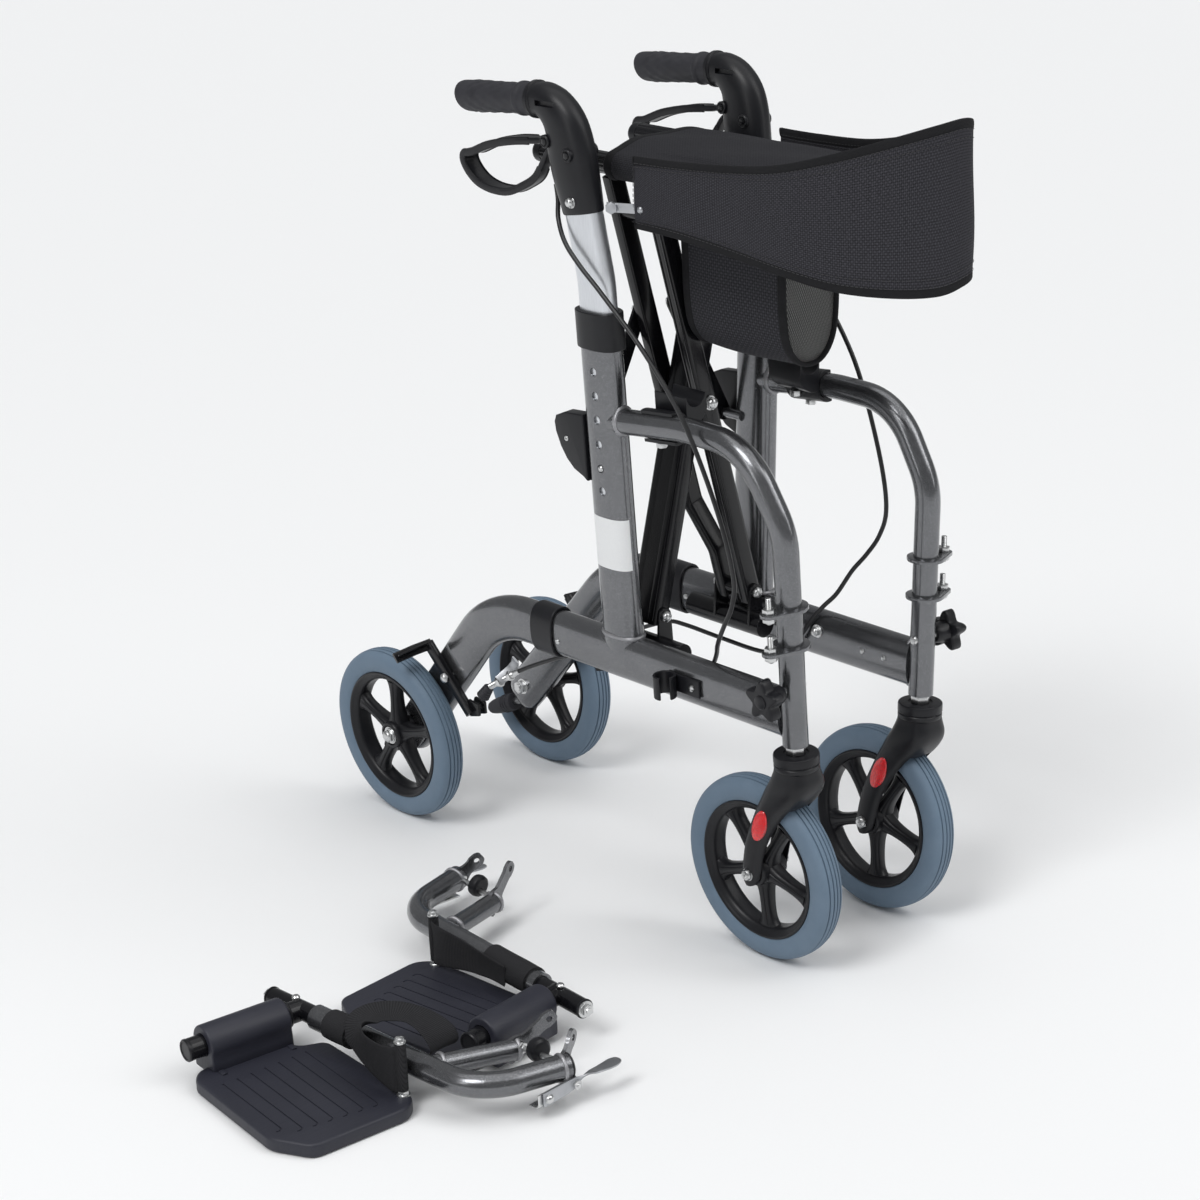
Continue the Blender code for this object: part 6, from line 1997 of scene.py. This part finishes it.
# Each row: name, shape, finish, body, node, laid by the plate's skew or not, sharp angle
footrestRows = (
    ("Hanger", hangerShape, "pearlPaint", "lift", "hanger", False, 40),
    ("Welds", hangerWelds, "weldMetal", "lift", None, False, 70),
    ("Caps", hangerCapShape, "mouldedPlastic", "lift", None, False, 35),
    ("Bracket", hangerSteelShape, "zincPlate", "lift", None, False, 35),
    ("Latch", latchShape, "stampedSteel", "latch", "latch_lever", False, 35),
    ("Extension", extensionShape, "glossBlack", "extension", "extension_tube", False, 35),
    ("ExtensionCaps", extensionCapShape, "mouldedPlastic", "extension", None, False, 35),
    ("ExtensionBolt", extensionBoltShape, "zincPlate", "extension", None, False, 35),
    ("Plate", footPlateShape, "footPlastic", "plate", "plate", True, 38),
    ("Roller", rollerShape, "footPlastic", "plate", None, True, 38),
    ("Post", postShape, "zincPlate", "plate", None, True, 35))
sleeveRows = (("TubeSleeve", tubeSleeveShape, "extension"), ("PostSleeve", postSleeveShape, "plate"))
loopWide = 0.043
for letter, f in footrests.items():
    name = "footrest" + letter.upper()
    node = "footrest_" + letter + "_"
    heading = math.radians(f["heading"])
    way = Vector((math.cos(heading), math.sin(heading), 0))
    lay = moved @ frameAt((*f["at"], 0), way, Vector((-way.y, way.x, 0)) * f["mirror"], upward)
    tray = lay @ Matrix.Rotation(-math.radians(f["skew"]), 4, "Z")
    for word, build, material, body, target, skewed, sharp in footrestRows:
        nodes = [node + target] if target else []
        piece(name + word, build(f), material, node + body, nodes, tray if skewed else lay, sharp=sharp)
    rows, spot = loopSpot(letter)
    loopLength = pathLength([row[:3] for row in rows])
    band = clothSheet(loopLength, loopWide, (90, 8), spot)
    loop = clothPiece(name + "HeelLoop", band, "ribbedWebbing", [node + "heel_loop"], 0.0018, matrix=lay)
    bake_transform(loop)
    for word, build, body in sleeveRows:
        piece(name + word, build(f), "ribbedWebbing", node + body, (), lay, sharp=60)
print("footrests done")

# Floor, soft studio light and the camera at the photograph's angle
floorDrop = 0.0002
bm = bmesh.new()
bmesh.ops.create_grid(bm, x_segments=2, y_segments=2, size=30.0)
floorMesh = bpy.data.meshes.new("studioFloor")
bm.to_mesh(floorMesh)
bm.free()
studioFloor = bpy.data.objects.new("studioFloor", floorMesh)
studioFloor.location = (0, 0, -floorDrop)
bpy.context.scene.collection.objects.link(studioFloor)
studioFloor.data.materials.append(finishes["studioPaper"])

world = bpy.data.worlds.new("studio")
bpy.context.scene.world = world
world.use_nodes = True
sky = world.node_tree.nodes["Background"]
sky.inputs["Color"].default_value = (0.97, 0.985, 1.0, 1.0)
sky.inputs["Strength"].default_value = 0.28


def lamp(name, kind, strength, turn, place=(0, 0, 0), **rest):
    data = bpy.data.lights.new(name, kind)
    data.energy = strength
    for key, value in rest.items():
        setattr(data, key, value)
    obj = bpy.data.objects.new(name, data)
    obj.rotation_euler = [math.radians(a) for a in turn]
    obj.location = place
    bpy.context.scene.collection.objects.link(obj)


lamp("domeSun", "SUN", 1.0, (6, 4, 0), angle=math.radians(70))
lamp("keySun", "SUN", 1.1, (38, 0, -82), angle=math.radians(24))
lamp("fillSun", "SUN", 0.52, (46, 0, 30), angle=math.radians(34))
lamp("softBox", "AREA", 6.0, (62, 0, -92), (-2.1, -0.3, 1.5), shape="RECTANGLE", size=0.5, size_y=1.6)
lamp("rimBox", "AREA", 4.0, (64, 0, 28), (1.3, -1.9, 1.5), shape="RECTANGLE", size=0.4, size_y=1.6)

view = {
    "turn": -45.9655, "rise": 21.4409, "roll": -0.521, "lens": 83.0, "at": (-1.61409, -2.05744, 1.30477),
    "shiftX": -0.188, "shiftY": 0.0669,
}
turn = math.radians(view["turn"])
rise = math.radians(view["rise"])
back = Vector((math.sin(turn) * math.cos(rise), -math.cos(turn) * math.cos(rise), math.sin(rise)))
level = (-back).cross(upward).normalized()
over = back.cross(level)
roll = math.radians(view["roll"])
right = level * math.cos(roll) + over * math.sin(roll)
top = over * math.cos(roll) - level * math.sin(roll)
cameraData = bpy.data.cameras.new("camera")
cameraData.lens = view["lens"]
cameraData.sensor_width = 36.0
cameraData.shift_x = view["shiftX"]
cameraData.shift_y = view["shiftY"]
cameraData.clip_end = 100.0
camera = bpy.data.objects.new("camera", cameraData)
camera.matrix_world = frameAt(view["at"], right, top, back)
bpy.context.scene.collection.objects.link(camera)
bpy.context.scene.camera = camera
bpy.context.scene.view_settings.view_transform = "Standard"
print("stage done")
